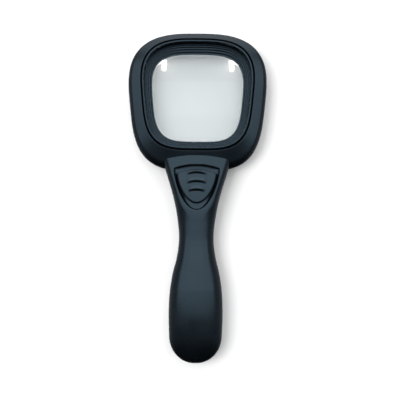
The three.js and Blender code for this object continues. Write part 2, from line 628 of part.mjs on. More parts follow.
function slideButton() {
  const plate = uprightPrism(shield(BUTTON), [0, 40]).intersect(collarSlab([-20, 30], GAP - RECESS_DEPTH, BUTTON_RISE));
  const stem = box([-STEM.halfX, STEM.halfX], [STEM_Y - STEM.halfY, STEM_Y + STEM.halfY], [15.4, 20.6]);
  const socketHalf = KNOB_HALF + GAP;
  const socket = box([-socketHalf, socketHalf], [STEM_Y - socketHalf, STEM_Y + socketHalf], [14, 17.6]);
  const arcDrop = (x) => x * x / 60;
  const ribs = RIBS.map(({ y, halfWidth }) => {
    const upper = [];
    const lower = [];
    for (let i = 0; i <= 6; i++) {
      const x = halfWidth * (-1 + i / 3);
      const fullness = 1 - (x / halfWidth) ** 2;
      upper.push([x, y - arcDrop(x) + 0.1 + 1.3 * fullness]);
      lower.push([x, y - arcDrop(x) - 0.1]);
    }
    const shape = new THREE.Shape([...lower, ...upper.reverse()].map(([x, v]) => new THREE.Vector2(x, v)));
    return uprightPrism(shape, [0, 40]).intersect(collarSlab([-20, 30], 0, BUTTON_RISE + RIB_HEIGHT));
  });
  addPiece('slide_button', joinAll([plate, stem, ...ribs]).subtract(socket), satinBlack());
}

function switchParts() {
  const slotHalfY = KNOB_HALF + TRAVEL + 0.5;
  const body = box([-SWITCH.halfX, SWITCH.halfX], [STEM_Y - SWITCH.halfY, STEM_Y + SWITCH.halfY], SWITCH.z)
    .subtract(box([-KNOB_HALF - GAP, KNOB_HALF + GAP], [STEM_Y - slotHalfY, STEM_Y + slotHalfY], [SWITCH.z[1] - 1.2, 20]));
  addPiece('switch_body', body, switchWhite());
  const knob = box([-KNOB_HALF, KNOB_HALF], [STEM_Y - KNOB_HALF, STEM_Y + KNOB_HALF], [SWITCH.z[1] - 0.8, 17.2]);
  addPiece('switch_knob', knob, innerBlack());
  addPiece('circuit_board', box([-BOARD.halfX, BOARD.halfX], BOARD.y, BOARD.z), boardGreen());
  const resistor = new THREE.CylinderGeometry(1.1, 1.1, 6, 12);
  resistor.rotateZ(Math.PI / 2);
  resistor.translate(0, -4.5, BOARD.z[1] + GAP + 1.1);
  addPiece('resistor', weld(resistor), resistorTan());
}

// ---------------------------------------------------------------- cells and contacts

// A cell lies along Y; its nub points to `nubSide` (+1 towards the head, -1 towards the tip).
function cell(name, x, nubY, nubSide) {
  const profile = [[0, 0], [2.6, 0], [2.6, 0.9], [4.6, 0.9], [CELL_RADIUS, 1.5],
    [CELL_RADIUS, CELL_LENGTH - 0.5], [4.7, CELL_LENGTH], [0, CELL_LENGTH]];
  const geometry = new THREE.LatheGeometry(profile.map(([r, along]) => new THREE.Vector2(r, along)), 20);
  if (nubSide > 0) geometry.rotateZ(Math.PI);
  geometry.translate(x, nubY, CELL_Z);
  addPiece(name, weld(geometry), cellJacket());
}

function spring(name, x, fromY, toY) {
  const turns = 3.5;
  const stepsPerTurn = 10;
  const count = turns * stepsPerTurn;
  const points = [];
  for (let i = 0; i <= count; i++) {
    const share = i / count;
    const angle = share * turns * 2 * Math.PI;
    const radius = 3.2 - 1.3 * share;
    points.push([x + radius * Math.cos(angle), fromY + (toY - fromY) * share, CELL_Z + radius * Math.sin(angle)]);
  }
  addPiece(name, tube(points, 0.35, count, 6), nickel());
}

function batteryTray() {
  const outline = ({ halfX, z, ridgeX }) => [[-halfX, z[0]], [halfX, z[0]], [halfX, z[1]], [ridgeX, z[2]],
    [-ridgeX, z[2]], [-halfX, z[1]]];
  let tray = lengthwisePrism(outline(TRAY), TRAY.y).subtract(lengthwisePrism(outline(BAY), BAY.y));
  tray = tray.subtract(bothSides((side) => box(sideSpan(side, 4.2, 6.8), [-46, -43], [12.4, 14])));
  addPiece('battery_tray', tray, innerBlack());
}

function contacts() {
  const neckY = BAY.y[1] - GAP;
  const tipY = BAY.y[0] + GAP;
  const plate = (side) => box(sideSpan(side, 1.2, PLATE_REACH), [neckY - PLATE_THICKNESS, neckY], PLATE_Z)
    .add(box(sideSpan(side, 4.6, 6.4), [neckY - 0.2, -42.6], [13, 13.4]));
  addPiece('contact_negative', plate(-1), nickel());
  addPiece('contact_positive', plate(1), nickel());
  addPiece('contact_bridge', box([-PLATE_REACH, PLATE_REACH], [tipY, tipY + PLATE_THICKNESS], PLATE_Z), nickel());
  const coil = 0.35;
  const leftCellEnd = neckY - PLATE_THICKNESS - 2 * GAP - 4.6;
  spring('spring_negative', -CELL_X, neckY - PLATE_THICKNESS - GAP - coil, leftCellEnd + GAP + coil);
  cell('battery_left', -CELL_X, leftCellEnd - CELL_LENGTH, -1);
  const rightNubY = neckY - PLATE_THICKNESS - GAP;
  cell('battery_right', CELL_X, rightNubY, 1);
  spring('spring_bridge', CELL_X, tipY + PLATE_THICKNESS + GAP + coil, rightNubY - CELL_LENGTH - GAP - coil);
}

function batteryWire(side, name, look) {
  const points = [[side * 5.5, -42.2, 13.2], [side * 5.8, -40, 12.8], [side * 6.2, -36, 11], [side * 6.2, -26, 9.7],
    [side * 5.6, -18, 9.6], [side * 5, -12, 9.6], [side * 5, BOARD.y[0] - GAP, 9.6]];
  addPiece(name, tube(points, WIRE_RADIUS + 0.1, 16, 6), look);
}

// ---------------------------------------------------------------- screws

function screw(name, x, y, headZ, topZ) {
  const profile = [[0, headZ], [SCREW.head, headZ], [SCREW.head, headZ + SCREW.headHeight],
    [SCREW.shank, headZ + SCREW.headHeight], [SCREW.shank, topZ - 0.8], [0, topZ]];
  const geometry = new THREE.LatheGeometry(profile.map(([r, z]) => new THREE.Vector2(r, z)), 12);
  geometry.rotateX(Math.PI / 2);
  geometry.translate(x, y, 0);
  addPiece(name, weld(geometry), zincSteel());
}

// ---------------------------------------------------------------- assembly

headFrontShell();
headRearShell();
steppedBezel();
lens();
led(-1, 'led_left');
led(1, 'led_right');
for (const [side, word] of [[-1, 'left'], [1, 'right']]) {
  ledWire(side, `led_${word}_wire_positive`, LED_X - 0.7, 9.2, 4.6, redInsulation());
  ledWire(side, `led_${word}_wire_negative`, LED_X + 0.8, 7.7, 6.8, blackInsulation());
}
const handle = handleSolids();
handleFrontShell(handle);
handleRearShell(handle);
batteryCover(handle);
slideButton();
switchParts();
batteryTray();
contacts();
batteryWire(1, 'battery_wire_positive', redInsulation());
batteryWire(-1, 'battery_wire_negative', blackInsulation());
for (const { name, at } of headScrewPlaces) screw(`head_screw_${name}`, at.x, at.y, 1.4, 15);
screw('neck_screw', 0, NECK_SCREW_Y, 3.4, 16.5);
screw('tongue_screw_left', -TONGUE_SCREW.x, TONGUE_SCREW.y, 3.4, 8.5);
screw('tongue_screw_right', TONGUE_SCREW.x, TONGUE_SCREW.y, 3.4, 8.5);

export default magnifier;
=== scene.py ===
import functools
import itertools
import math

import bmesh
import bpy
import numpy as np
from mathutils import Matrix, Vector


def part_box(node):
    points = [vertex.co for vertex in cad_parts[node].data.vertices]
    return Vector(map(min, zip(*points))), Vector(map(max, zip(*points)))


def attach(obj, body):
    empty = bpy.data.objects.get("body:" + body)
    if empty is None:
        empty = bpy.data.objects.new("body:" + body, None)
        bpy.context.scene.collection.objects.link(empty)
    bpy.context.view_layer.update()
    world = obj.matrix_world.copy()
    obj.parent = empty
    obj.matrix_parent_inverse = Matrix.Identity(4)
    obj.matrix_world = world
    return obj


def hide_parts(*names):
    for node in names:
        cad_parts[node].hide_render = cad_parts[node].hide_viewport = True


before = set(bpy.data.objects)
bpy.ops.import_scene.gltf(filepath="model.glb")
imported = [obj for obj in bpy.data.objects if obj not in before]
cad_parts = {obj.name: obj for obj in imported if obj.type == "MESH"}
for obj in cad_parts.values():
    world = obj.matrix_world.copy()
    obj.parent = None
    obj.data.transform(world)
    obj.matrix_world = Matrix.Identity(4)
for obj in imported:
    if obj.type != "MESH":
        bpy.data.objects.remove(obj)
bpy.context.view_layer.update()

MM = 0.001

# -------- driving dimensions

GAP = 0.3
WALL = 2.0
SEAM_Z = 10.5
FRONT_SEAM_Z = SEAM_Z + GAP / 2
REAR_SEAM_Z = SEAM_Z - GAP / 2

# Rounded-square outlines of the head: centre, half width, half height, squareness above and
# below the centre, and how much wider the top is than the bottom.
RIM = dict(cy=62.75, a=44.4, b=44.75, top=2.88, bottom=3.49, taper=0.097)
WELL = dict(cy=66.5, a=33.9, b=33.7, top=3.0, bottom=3.75, taper=0.09)
OPENING = dict(cy=65.65, a=29.4, b=28.45, top=3.35, bottom=3.94, taper=0.085)
OUTLINE_STEPS = 224

HEAD_CREST_Z = 19.7
LIP_Z = 20.3
LIP_WIDTH = 0.8
LIP_FOOT_Z = 18.8  # outer foot of the lip, from which its outside slopes up
GROOVE_WIDTH = 1.3  # from the lip's top to the head moulding, across the slope and the gap
WELL_WALL_Z = 14.2  # foot of the steep wall inside the lip
WELL_STEPS = 5
STEP_SPREAD = 1.5  # above 1, treads widen towards the lens
TREAD_SHARE = 0.55  # flat part of each step; the rest is its sloping riser
SHOULDER = 0.34  # share of the head's width that its rounded shoulder takes
SLOPE_RISE = 4.6  # rise of the straight slope from the rim to the groove
SLOPE_LOOPS = 6
REAR_FLAT = (0.45, 0.88)
LENS_FLANGE_Z = (8.3, 10.5)
LENS_FLANGE = 2.35
LENS_APEX_Z = (5.4, 13.4)
LENS_RADIUS = 245.0

TIP_Y = -107.5
COLLAR_APEX_Y = 27.8
COLLAR_ARC_RADIUS = 77.0
COLLAR_TILT = 0.0454
COLLAR_FRONT_Z = 20.5
COLLAR_FRONT_Y = 28.0
NEAR_HEAD_Y = 8  # the head is only looked for beyond this
FAR_AWAY = 50.0

# Handle sections: (Y, value) pairs through which each smooth dimension runs.
HALF_WIDTH = [(28, 23.4), (18, 20.4), (0, 15.05), (-15, 12.2), (-27, 11.35), (-38, 12.65),
              (-50, 15.5), (-62, 17.2), (-76, 17.7), (-90, 17.3), (-107.5, 16.7)]
TOP_HEIGHT = [(28, 13), (0, 13.1), (-10, 11.75), (-20, 11.1), (-28, 10.95), (-42, 12.3), (-58, 13.5)]
BOTTOM_HEIGHT = [(28, 6.9), (0, 7.1), (-20, 6.9), (-32, 7.3), (-46, 9.3), (-66, 10.5)]
SQUARENESS = [(28, 3.5), (-4, 3.4), (-16, 2.8), (-28, 2.6), (-60, 2.65), (-107.5, 2.75)]
DRAFT = 0.07  # how much each side leans in per unit of height above or below the seam
SIDE_END = (-90.0, 2.1)  # where each side starts to close on the tip, and how full it is
TOP_END = (-58.0, 2.3)
BOTTOM_END = (-66.0, 2.6)

# Slider recess, the slider in it and the room under them
RECESS = dict(apex=21.8, corner=19.1, bottom=-7.1, half_width=14.8)
BUTTON = dict(apex=18.5, corner=15.9, bottom=-3.4, half_width=12.85)
SHIELD_POWER = 1.5
RECESS_DEPTH = 1.6
DISH_DEPTH = 1.85  # depth that the dished recess floor tends to
RECESS_FALL = 0.13  # slope at which the recess floor falls away from its arc
FALL_REACH = 3.3
BUTTON_RISE = 0.45
BUTTON_CREST_Y = 8.5  # of the highest point of its slightly crowned top
BUTTON_EDGE = 1.7  # rounding of the button's sides, its arc and its lower edge
BUTTON_ARC_EDGE = 0.5
BUTTON_LOWER_EDGE = 0.9
RIBS = [(17.5, 6.4), (11.9, 6.4), (6.5, 5.4)]  # Y of each grip rib's crest, half length
RIB_HEIGHT = 0.9
RIB_RAMP = 2.0  # length of a rib's gentle side, which faces the head
RIB_DROP = 1.6  # length of its steep side
STEM_Y = 7.0
STEM_HALF = (2.6, 3.2)
KNOB_HALF = 1.0
TRAVEL = 2.5
HOLLOW_Y = (-103.5, 19.0)  # ends of the room inside the handle
RECESS_PAD_Z = 17.4  # the front moulding is solid from here up to the recess
FLOOR_PAD_Y = (-2, 17.2)  # the rear moulding is solid up to here below the switch
FLOOR_PAD_Z = 6.3

# Battery door, its grip grooves, its tongues and the rails that they run in
DOOR_HALF_X = 11.65
DOOR_WALL = 1.25
DOOR_ROOF_Z = 4.3
DOOR_ARCH = (-52.0, -42.0)
DOOR_CAP_Y = -95.4
GRIP_COUNT = 5
GRIP_Y = -50.5  # of the first groove; each is shorter than the one before
GRIP_PITCH = 2.4
GRIP_HALF_WIDTH = 0.55
GRIP_REACH = 6.0  # half length of the first
GRIP_DEPTH = 0.45
TONGUE_TOP_Z = 5.8
TONGUE_REACH = 1.25
TONGUE_THICKNESS = 0.9
TONGUE_Y = (-93.0, -54.0)
RAIL_X = 13.6
RAIL_TOP_Z = 8.3
RAIL_Y = (-96.0, -51.0)

# Lamps and the notches in the rear moulding's rib for their leads
LAMP_RADIUS = 1.5
LEG_LENGTH = 3.0
LAMP_GATE_X = (19.6, 25.4)
LAMP_GATE_Y = (94.0, 97.6)
LAMP_GATE_Z = (4.0, 8.8)

# Screws and the posts that the head screws pass through
SCREW_RECESS = 2.3
SCREW_HOLE = 1.3
THREAD_PITCH = 0.8
FRONT_POST = 2.2
REAR_POST = 3.2
FRONT_POST_TOP_Z = 15.6
FRONT_HOLE_TOP_Z = 14.4
POST_INSET = 0.4  # rear posts end this far inside the outer skin
ROD_SIDES = 40
SHARP_ANGLE = math.radians(38)

# Battery tray, cells, contacts, springs and wires
TRAY_SHOULDER = (0.77, 0.638)  # direction in which the tray's sloped shoulders face, across and up
TRAY_SHOULDER_REACH = 17.25
CELL_X = 5.45  # of each cell's middle line
CELL_Z = 10
CONTACT_TOP_Z = 14.2
CONTACT_Y = (-45.7, -45.3)
SPRING_TURNS = 3.5
SPRING_RADII = (3.2, 1.9)
SPRING_WIRE = 0.35
TUBE_SIDES = 12


# -------- camera

def link(obj):
    bpy.context.scene.collection.objects.link(obj)
    return obj


def add_camera():
    data = bpy.data.cameras.new("camera")
    data.lens = 48.0
    data.sensor_width = 36.0
    data.clip_start = 0.01
    camera = link(bpy.data.objects.new("camera", data))
    camera.location = (0.0022, -0.0009, 0.360)
    camera.rotation_euler = (0.0, 0.0, math.radians(0.5))
    bpy.context.scene.camera = camera


add_camera()


# -------- meshes

def mesh_object(name, points, faces):
    """A smooth-shaded object from points in millimetres, its faces turned outward."""
    mesh = bpy.data.meshes.new(name)
    mesh.from_pydata(np.asarray(points, float) * MM, [], faces)
    mesh.validate()
    mesh.polygons.foreach_set("use_smooth", np.ones(len(mesh.polygons), bool))
    work = bmesh.new()
    work.from_mesh(mesh)
    if work.calc_volume(signed=True) < 0:
        mesh.flip_normals()
    work.free()
    return link(bpy.data.objects.new(name, mesh))


def loops_mesh(name, loops, ring=False, poles=()):
    """A skin over closed loops of points. A ring's last loop meets its first; poles close the ends."""
    count = len(loops[0])
    here = np.arange(count)
    after = (here + 1) % count
    quads = []
    for j in range(len(loops) if ring else len(loops) - 1):
        low = j * count
        high = ((j + 1) % len(loops)) * count
        quads.append(np.stack([low + here, low + after, high + after, high + here], 1))
    faces = np.concatenate(quads).tolist()
    if poles:
        first = len(loops) * count
        last_loop = first - count
        faces += [[first, b, a] for a, b in zip(here, after)]
        faces += [[first + 1, last_loop + a, last_loop + b] for a, b in zip(here, after)]
        loops = [*loops, np.array(poles, float)]
    return mesh_object(name, np.concatenate(loops), faces)


# -------- solids as sampled fields

def grid(low, high, step):
    """Three coordinate arrays that broadcast to a grid, in millimetres."""
    axes = [np.arange(a, b + s, s) for a, b, s in zip(low, high, step)]
    shapes = [(-1, 1, 1), (1, -1, 1), (1, 1, -1)]
    return [axis.reshape(shape) for axis, shape in zip(axes, shapes)]


def crossed_cells(inside):
    """The grid cells that the surface passes through, and the number of each cell, -1 for the others."""
    size = [n - 1 for n in inside.shape]
    count = np.zeros(size, np.int8)
    for c in itertools.product((0, 1), repeat=3):
        count += inside[c[0]:size[0] + c[0], c[1]:size[1] + c[1], c[2]:size[2] + c[2]]
    cells = np.argwhere((count > 0) & (count < 8))
    number = np.full(size, -1, np.int64)
    number[tuple(cells.T)] = np.arange(len(cells))
    return cells, number


def surface_points(field, axes, cells):
    """A point in each cell, at the mean of the places where the surface crosses the cell's edges."""
    total = np.zeros((len(cells), 3))
    hits = np.zeros(len(cells))
    for axis in range(3):
        for offsets in itertools.product((0, 1), repeat=2):
            start = cells.copy()
            start[:, (axis + 1) % 3] += offsets[0]
            start[:, (axis + 2) % 3] += offsets[1]
            end = start.copy()
            end[:, axis] += 1
            f0 = field[tuple(start.T)]
            f1 = field[tuple(end.T)]
            cross = (f0 < 0) != (f1 < 0)
            place = start[cross].astype(float)
            place[:, axis] += f0[cross] / (f0[cross] - f1[cross])
            total[cross] += place
            hits[cross] += 1
    points = total / hits[:, None]
    for axis, values in enumerate(axes):
        values = values.ravel()
        points[:, axis] = values[0] + points[:, axis] * (values[1] - values[0])
    return points


def surface_quads(inside, number):
    """A quad round each grid edge that the surface crosses, facing out of the solid."""
    quads = []
    for axis in range(3):
        b, c = (axis + 1) % 3, (axis + 2) % 3
        core = [slice(None)] * 3
        core[b] = slice(1, -1)
        core[c] = slice(1, -1)
        low, high = list(core), list(core)
        low[axis] = slice(None, -1)
        high[axis] = slice(1, None)
        edges = np.argwhere(inside[tuple(low)] != inside[tuple(high)])
        leaving = inside[tuple(low)][tuple(edges.T)]
        edges[:, b] += 1
        edges[:, c] += 1
        corners = []
        for db, dc in ((-1, -1), (0, -1), (0, 0), (-1, 0)):
            cell = edges.copy()
            cell[:, b] += db
            cell[:, c] += dc
            corners.append(number[tuple(cell.T)])
        quad = np.stack(corners, 1)
        quad[~leaving] = quad[~leaving][:, ::-1]
        quads.append(quad)
    return np.concatenate(quads)


def surface_nets(field, axes):
    """Points and quads on the zero level of a field that is negative inside the solid."""
    inside = field < 0
    cells, number = crossed_cells(inside)
    return surface_points(field, axes, cells), surface_quads(inside, number)


def solid_object(name, field, axes):
    return mesh_object(name, *surface_nets(field, axes))


def as_distance(field, axes):
    """A field divided by its own slope, so that it counts millimetres near its surface."""
    steps = [float(v.ravel()[1] - v.ravel()[0]) for v in axes]
    slopes = np.gradient(field, *steps)
    return field / np.sqrt(sum(s * s for s in slopes) + 1e-9)


def overlap(*fields):
    """What is inside every field, with sharp edges."""
    return functools.reduce(np.maximum, fields)


def cut(a, b, radius=0.0):
    """What is inside both a and b, with the edge between them rounded."""
    if not radius:
        return overlap(a, b)
    over = np.sqrt(np.maximum(a + radius, 0) ** 2 + np.maximum(b + radius, 0) ** 2)
    return np.minimum(np.maximum(a, b), -radius) + over


def join(a, b, radius=0.0):
    return -cut(-a, -b, radius)


def slab(values, low, high):
    return np.maximum(low - values, values - high)


def block(axes, x, y, z):
    return overlap(slab(axes[0], *x), slab(axes[1], *y), slab(axes[2], *z))


def around(axes, middle, radius):
    """Distance to a ball, or to a rod along an axis whose coordinate is None."""
    squares = [(axis - place) ** 2 for axis, place in zip(axes, middle) if place is not None]
    return np.sqrt(sum(squares)) - radius


def upright(axes, x, y, radius):
    return around(axes, (x, y, None), radius)


def lengthwise(axes, x, z, radius):
    return around(axes, (x, None, z), radius)


def mirrored(axes, x=0.0):
    """Axes on which a shape given for one side of x is there on both."""
    return [np.abs(axes[0] - x), axes[1], axes[2]]


def mirrored_block(axes, x, y, z):
    return block(mirrored(axes), x, y, z)


def stem_block(axes, half_x, half_y, z):
    """A block round the middle of the slider's stem."""
    return block(axes, (-half_x, half_x), (STEM_Y - half_y, STEM_Y + half_y), z)


# -------- places of the CAD nodes

def node_box(name):
    """Low and high corner of a node, in millimetres."""
    low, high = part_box(name)
    return [v / MM for v in low], [v / MM for v in high]


def node_middle(name):
    return [(a + b) / 2 for a, b in zip(*node_box(name))]


# -------- handle body

def smooth_through(pairs, y):
    """Smooth value at each y through (Y, value) pairs."""
    pairs = sorted(pairs)
    ys = np.array([p[0] for p in pairs], float)
    vs = np.array([p[1] for p in pairs], float)
    slopes = np.empty(len(ys))
    slopes[1:-1] = (vs[2:] - vs[:-2]) / (ys[2:] - ys[:-2])
    slopes[0] = (vs[1] - vs[0]) / (ys[1] - ys[0])
    slopes[-1] = (vs[-1] - vs[-2]) / (ys[-1] - ys[-2])
    y = np.clip(y, ys[0], ys[-1])
    i = np.clip(np.searchsorted(ys, y, side="right") - 1, 0, len(ys) - 2)
    span = ys[i + 1] - ys[i]
    t = (y - ys[i]) / span
    return (vs[i] * (1 + 2 * t) * (1 - t) ** 2 + slopes[i] * span * t * (1 - t) ** 2
            + vs[i + 1] * t * t * (3 - 2 * t) + slopes[i + 1] * span * t * t * (t - 1))


def end_share(y, end):
    start, power = end
    v = np.clip((start - y) / (start - TIP_Y), 0, 1)
    return np.maximum(1 - v ** power, 0) ** (1 / power)


def handle_field(axes, inset=0.0):
    """Distance to the handle's outer skin, or to its hollow when inset is the wall."""
    x, y, z = axes
    half_width = smooth_through(HALF_WIDTH, y) * end_share(y, SIDE_END) - inset
    top = smooth_through(TOP_HEIGHT, y) * end_share(y, TOP_END) - inset
    bottom = smooth_through(BOTTOM_HEIGHT, y) * end_share(y, BOTTOM_END) - inset
    n = smooth_through(SQUARENESS, y)
    tiny = 0.05
    half_width = np.maximum(half_width - DRAFT * np.abs(z - SEAM_Z), tiny)
    height = np.where(z >= SEAM_Z, np.maximum(top, tiny), np.maximum(bottom, tiny))
    reach = ((np.abs(x) / half_width) ** n + (np.abs(z - SEAM_Z) / height) ** n) ** (1 / n)
    field = as_distance((reach - 1) * np.minimum(half_width, height), axes)
    return np.maximum(field, TIP_Y + inset - y)


def collar_top(y):
    return COLLAR_FRONT_Z + (COLLAR_FRONT_Y - y) * COLLAR_TILT


# -------- head outlines

def outline_at(outline, angle, offset=0.0):
    cos, sin = np.cos(angle), np.sin(angle)
    n = np.where(sin >= 0, outline["top"], outline["bottom"])
    reach = (np.abs(cos) ** n + np.abs(sin) ** n) ** (-1 / n)
    v = sin * reach
    width = (outline["a"] + offset) * (1 + outline["taper"] * v)
    return np.stack([width * cos * reach, outline["cy"] + (outline["b"] + offset) * v], -1)


ANGLES = np.arange(OUTLINE_STEPS) * 2 * math.pi / OUTLINE_STEPS


def at_height(loop, z):
    return np.column_stack([loop[:, :2], np.full(len(loop), float(z))])


def head_loop(outline, offset, z):
    return at_height(outline_at(outline, ANGLES, offset), z)


def mix_loops(a, b, share):
    return a * (1 - share) + b * share


def elliptic_round(outer, inner, seam_z, height, steps):
    """Loops along a quarter ellipse from the outer line, where the surface is upright, to the inner one."""
    loops = []
    for i in range(steps + 1):
        angle = i / steps * math.pi / 2
        flat = mix_loops(outer, inner, 1 - math.cos(angle))
        loops.append(at_height(flat, seam_z + height * math.sin(angle)))
    return loops


def shouldered(outer, inner, height, steps):
    """Loops of the head's front: a quarter-ellipse shoulder, then a straight slope to the inner line."""
    shoulder = mix_loops(outer, inner, SHOULDER)
    loops = elliptic_round(outer, shoulder, FRONT_SEAM_Z, height - SLOPE_RISE, steps)
    shares = [SHOULDER * (1 - math.cos(i / steps * math.pi / 2)) for i in range(steps + 1)]
    loops = [loop + [0, 0, SLOPE_RISE * share] for loop, share in zip(loops, shares)]
    for i in range(1, SLOPE_LOOPS + 1):
        share = SHOULDER + (1 - SHOULDER) * i / SLOPE_LOOPS
        z = FRONT_SEAM_Z + height - SLOPE_RISE * (1 - share)
        loops.append(at_height(mix_loops(outer, inner, share), z))
    return loops


def bend(start, corner, end, steps):
    """Places on a curve from start to end that is drawn towards the corner between them."""
    shares = [k / steps for k in range(steps + 1)]
    return [start * (1 - t) ** 2 + corner * 2 * t * (1 - t) + end * t * t for t in shares]


def rounded(corners, steps=4):
    """Loops of a closed profile of (loop, radius) corners, each corner rounded by its radius."""
    loops = []
    for i, (corner, radius) in enumerate(corners):
        if not radius:
            loops.append(corner)
            continue
        before = corners[i - 1][0] - corner
        after = corners[(i + 1) % len(corners)][0] - corner
        reach = [min(radius / np.linalg.norm(side, axis=1).mean(), 0.45) for side in (before, after)]
        loops += bend(corner + before * reach[0], corner, corner + after * reach[1], steps)
    return loops


def plain(loops):
    return [(loop, 0.0) for loop in loops]


# -------- head pieces

HEAD_INNER = LIP_WIDTH + GROOVE_WIDTH


def head_front_shell():
    rim = head_loop(RIM, 0, FRONT_SEAM_Z)
    inner = head_loop(WELL, HEAD_INNER, FRONT_SEAM_Z)
    leg = head_loop(WELL, HEAD_INNER + 1.5, FRONT_SEAM_Z)
    height = HEAD_CREST_Z - FRONT_SEAM_Z
    crown = shouldered(rim, inner, height, 16)
    roof = shouldered(head_loop(RIM, -WALL, FRONT_SEAM_Z), leg, height - WALL, 8)
    profile = [(at_height(crown[0], FRONT_SEAM_Z), 0.25)] + plain(crown[1:-1])
    profile += [(crown[-1], 0.2), (inner, 0.0), (leg, 0.0)] + plain(roof[::-1])
    return loops_mesh("head_front_moulding", rounded(profile), ring=True)


def head_rear_shell():
    rim = head_loop(RIM, 0, REAR_SEAM_Z)
    inside = head_loop(OPENING, 0.8, 0)
    pocket = head_loop(OPENING, LENS_FLANGE + 0.4, REAR_SEAM_Z)
    rib = head_loop(OPENING, LENS_FLANGE + 1.9, REAR_SEAM_Z)
    channel = head_loop(RIM, -WALL, REAR_SEAM_Z)
    ledge_z = LENS_FLANGE_Z[0] - GAP
    crown = elliptic_round(rim, mix_loops(rim, inside, REAR_FLAT[0]), REAR_SEAM_Z, -REAR_SEAM_Z, 20)
    profile = [(crown[0], 0.25)] + plain(crown[1:-1]) + [(crown[-1], 1.0)]
    profile += [(at_height(mix_loops(rim, inside, REAR_FLAT[1]), 0), 0.6), (at_height(inside, 1.4), 0.5)]
    profile += [(at_height(inside, ledge_z), 0.2), (at_height(pocket, ledge_z), 0.2), (pocket, 0.2)]
    profile.append((rib, 0.2))
    profile += [(at_height(rib, WALL), 0.5), (at_height(mix_loops(channel, rib, 0.4), WALL), 1.0)]
    profile += [(at_height(channel, 6), 2.0), (channel, 0.0)]
    return loops_mesh("head_rear_moulding", rounded(profile), ring=True)


def stepped_bezel():
    last_tread_z = LENS_FLANGE_Z[1] + 0.9
    underside_z = LENS_FLANGE_Z[1] + GAP
    wall = HEAD_INNER - GAP
    well = head_loop(WELL, 0, LIP_Z)
    opening = head_loop(OPENING, 0, LIP_Z)
    profile = [(head_loop(WELL, wall, underside_z), 0.2), (head_loop(WELL, wall, LIP_FOOT_Z), 0.15),
               (head_loop(WELL, LIP_WIDTH, LIP_Z), 0.25), (well, 0.3)]
    for i in range(WELL_STEPS):
        start, end = ((k / WELL_STEPS) ** STEP_SPREAD for k in (i, i + 1))
        tread_z = WELL_WALL_Z + (last_tread_z - WELL_WALL_Z) * i / (WELL_STEPS - 1)
        foot = start + (end - start) * (1 - TREAD_SHARE)
        profile.append((at_height(mix_loops(well, opening, foot), tread_z), 0.06))
        profile.append((at_height(mix_loops(well, opening, end), tread_z), 0.1))
    profile.append((at_height(opening, underside_z), 0.15))
    return loops_mesh("stepped_well_moulding", rounded(profile, 3), ring=True)


def lens():
    middle = np.array([0.0, OPENING["cy"]])
    edge = outline_at(OPENING, ANGLES, -0.35)

    def dome(share, apex_z, towards):
        flat = middle + (edge - middle) * share
        sag = ((flat - middle) ** 2).sum(1) / (2 * LENS_RADIUS)
        return np.column_stack([flat, apex_z - towards * sag])

    shares = np.linspace(0, 1, 27)[1:]
    flange = head_loop(OPENING, LENS_FLANGE, 0)
    neck = head_loop(OPENING, -0.3, 0)
    loops = [dome(s, LENS_APEX_Z[0], -1) for s in shares]
    loops += [at_height(neck, LENS_FLANGE_Z[0]), at_height(flange, LENS_FLANGE_Z[0])]
    loops += [at_height(flange, LENS_FLANGE_Z[1]), at_height(neck, LENS_FLANGE_Z[1])]
    loops += [dome(s, LENS_APEX_Z[1], 1) for s in shares[::-1]]
    poles = [(0, OPENING["cy"], LENS_APEX_Z[0]), (0, OPENING["cy"], LENS_APEX_Z[1])]
    return loops_mesh("lens_glass", loops, poles=poles)


def head_coordinates(x, y, inner_outline, inner_offset, reach):
    """Share of the way from the rim (0) to an inner outline (1) at each point of a plan grid.

    Each point lies on one line between the two outlines; Newton's method finds it.
    """
    angle = np.arctan2((y - RIM["cy"]) / RIM["b"], x / RIM["a"])
    share = np.zeros_like(angle)

    def place(angle, share):
        near = outline_at(RIM, angle)
        far = outline_at(inner_outline, angle, inner_offset)
        return near + (far - near) * (share * reach)[..., None]

    target = np.stack([x, y], -1)
    small = 1e-4
    for _ in range(12):
        here = place(angle, share)
        by_angle = (place(angle + small, share) - here) / small
        by_share = (place(angle, share + small) - here) / small
        miss = target - here
        det = by_angle[..., 0] * by_share[..., 1] - by_angle[..., 1] * by_share[..., 0]
        det = np.where(np.abs(det) < 1e-6, 1e-6, det)
        angle = angle + (miss[..., 0] * by_share[..., 1] - miss[..., 1] * by_share[..., 0]) / det
        share = share + (by_angle[..., 0] * miss[..., 1] - by_angle[..., 1] * miss[..., 0]) / det
    return share


def head_field(axes):
    """Distance to the head's outer skin, filled in, near the collar."""
    x = axes[0][:, :, 0] + 0 * axes[1][:, :, 0]
    y = axes[1][:, :, 0] + 0 * axes[0][:, :, 0]
    y = np.maximum(y, 5.0)
    front = head_coordinates(x, y, WELL, HEAD_INNER, 1.0)[:, :, None]
    rear = head_coordinates(x, y, OPENING, 0.8, REAR_FLAT[0])[:, :, None]
    z = axes[2]
    up = (z - FRONT_SEAM_Z) / (HEAD_CREST_Z - FRONT_SEAM_Z)
    down = (REAR_SEAM_Z - z) / REAR_SEAM_Z
    slope = SLOPE_RISE / (HEAD_CREST_Z - FRONT_SEAM_Z)
    on_shoulder = (up - slope * np.clip(front, 0, None)) / (1 - slope)
    above = np.sqrt(np.clip(1 - front / SHOULDER, 0, None) ** 2 + np.clip(on_shoulder, 0, None) ** 2) - 1
    below = np.sqrt(np.clip(1 - rear, 0, None) ** 2 + np.clip(down, 0, None) ** 2) - 1
    return as_distance(np.where(z >= SEAM_Z, above, below) * 8, axes)


# -------- handle pieces

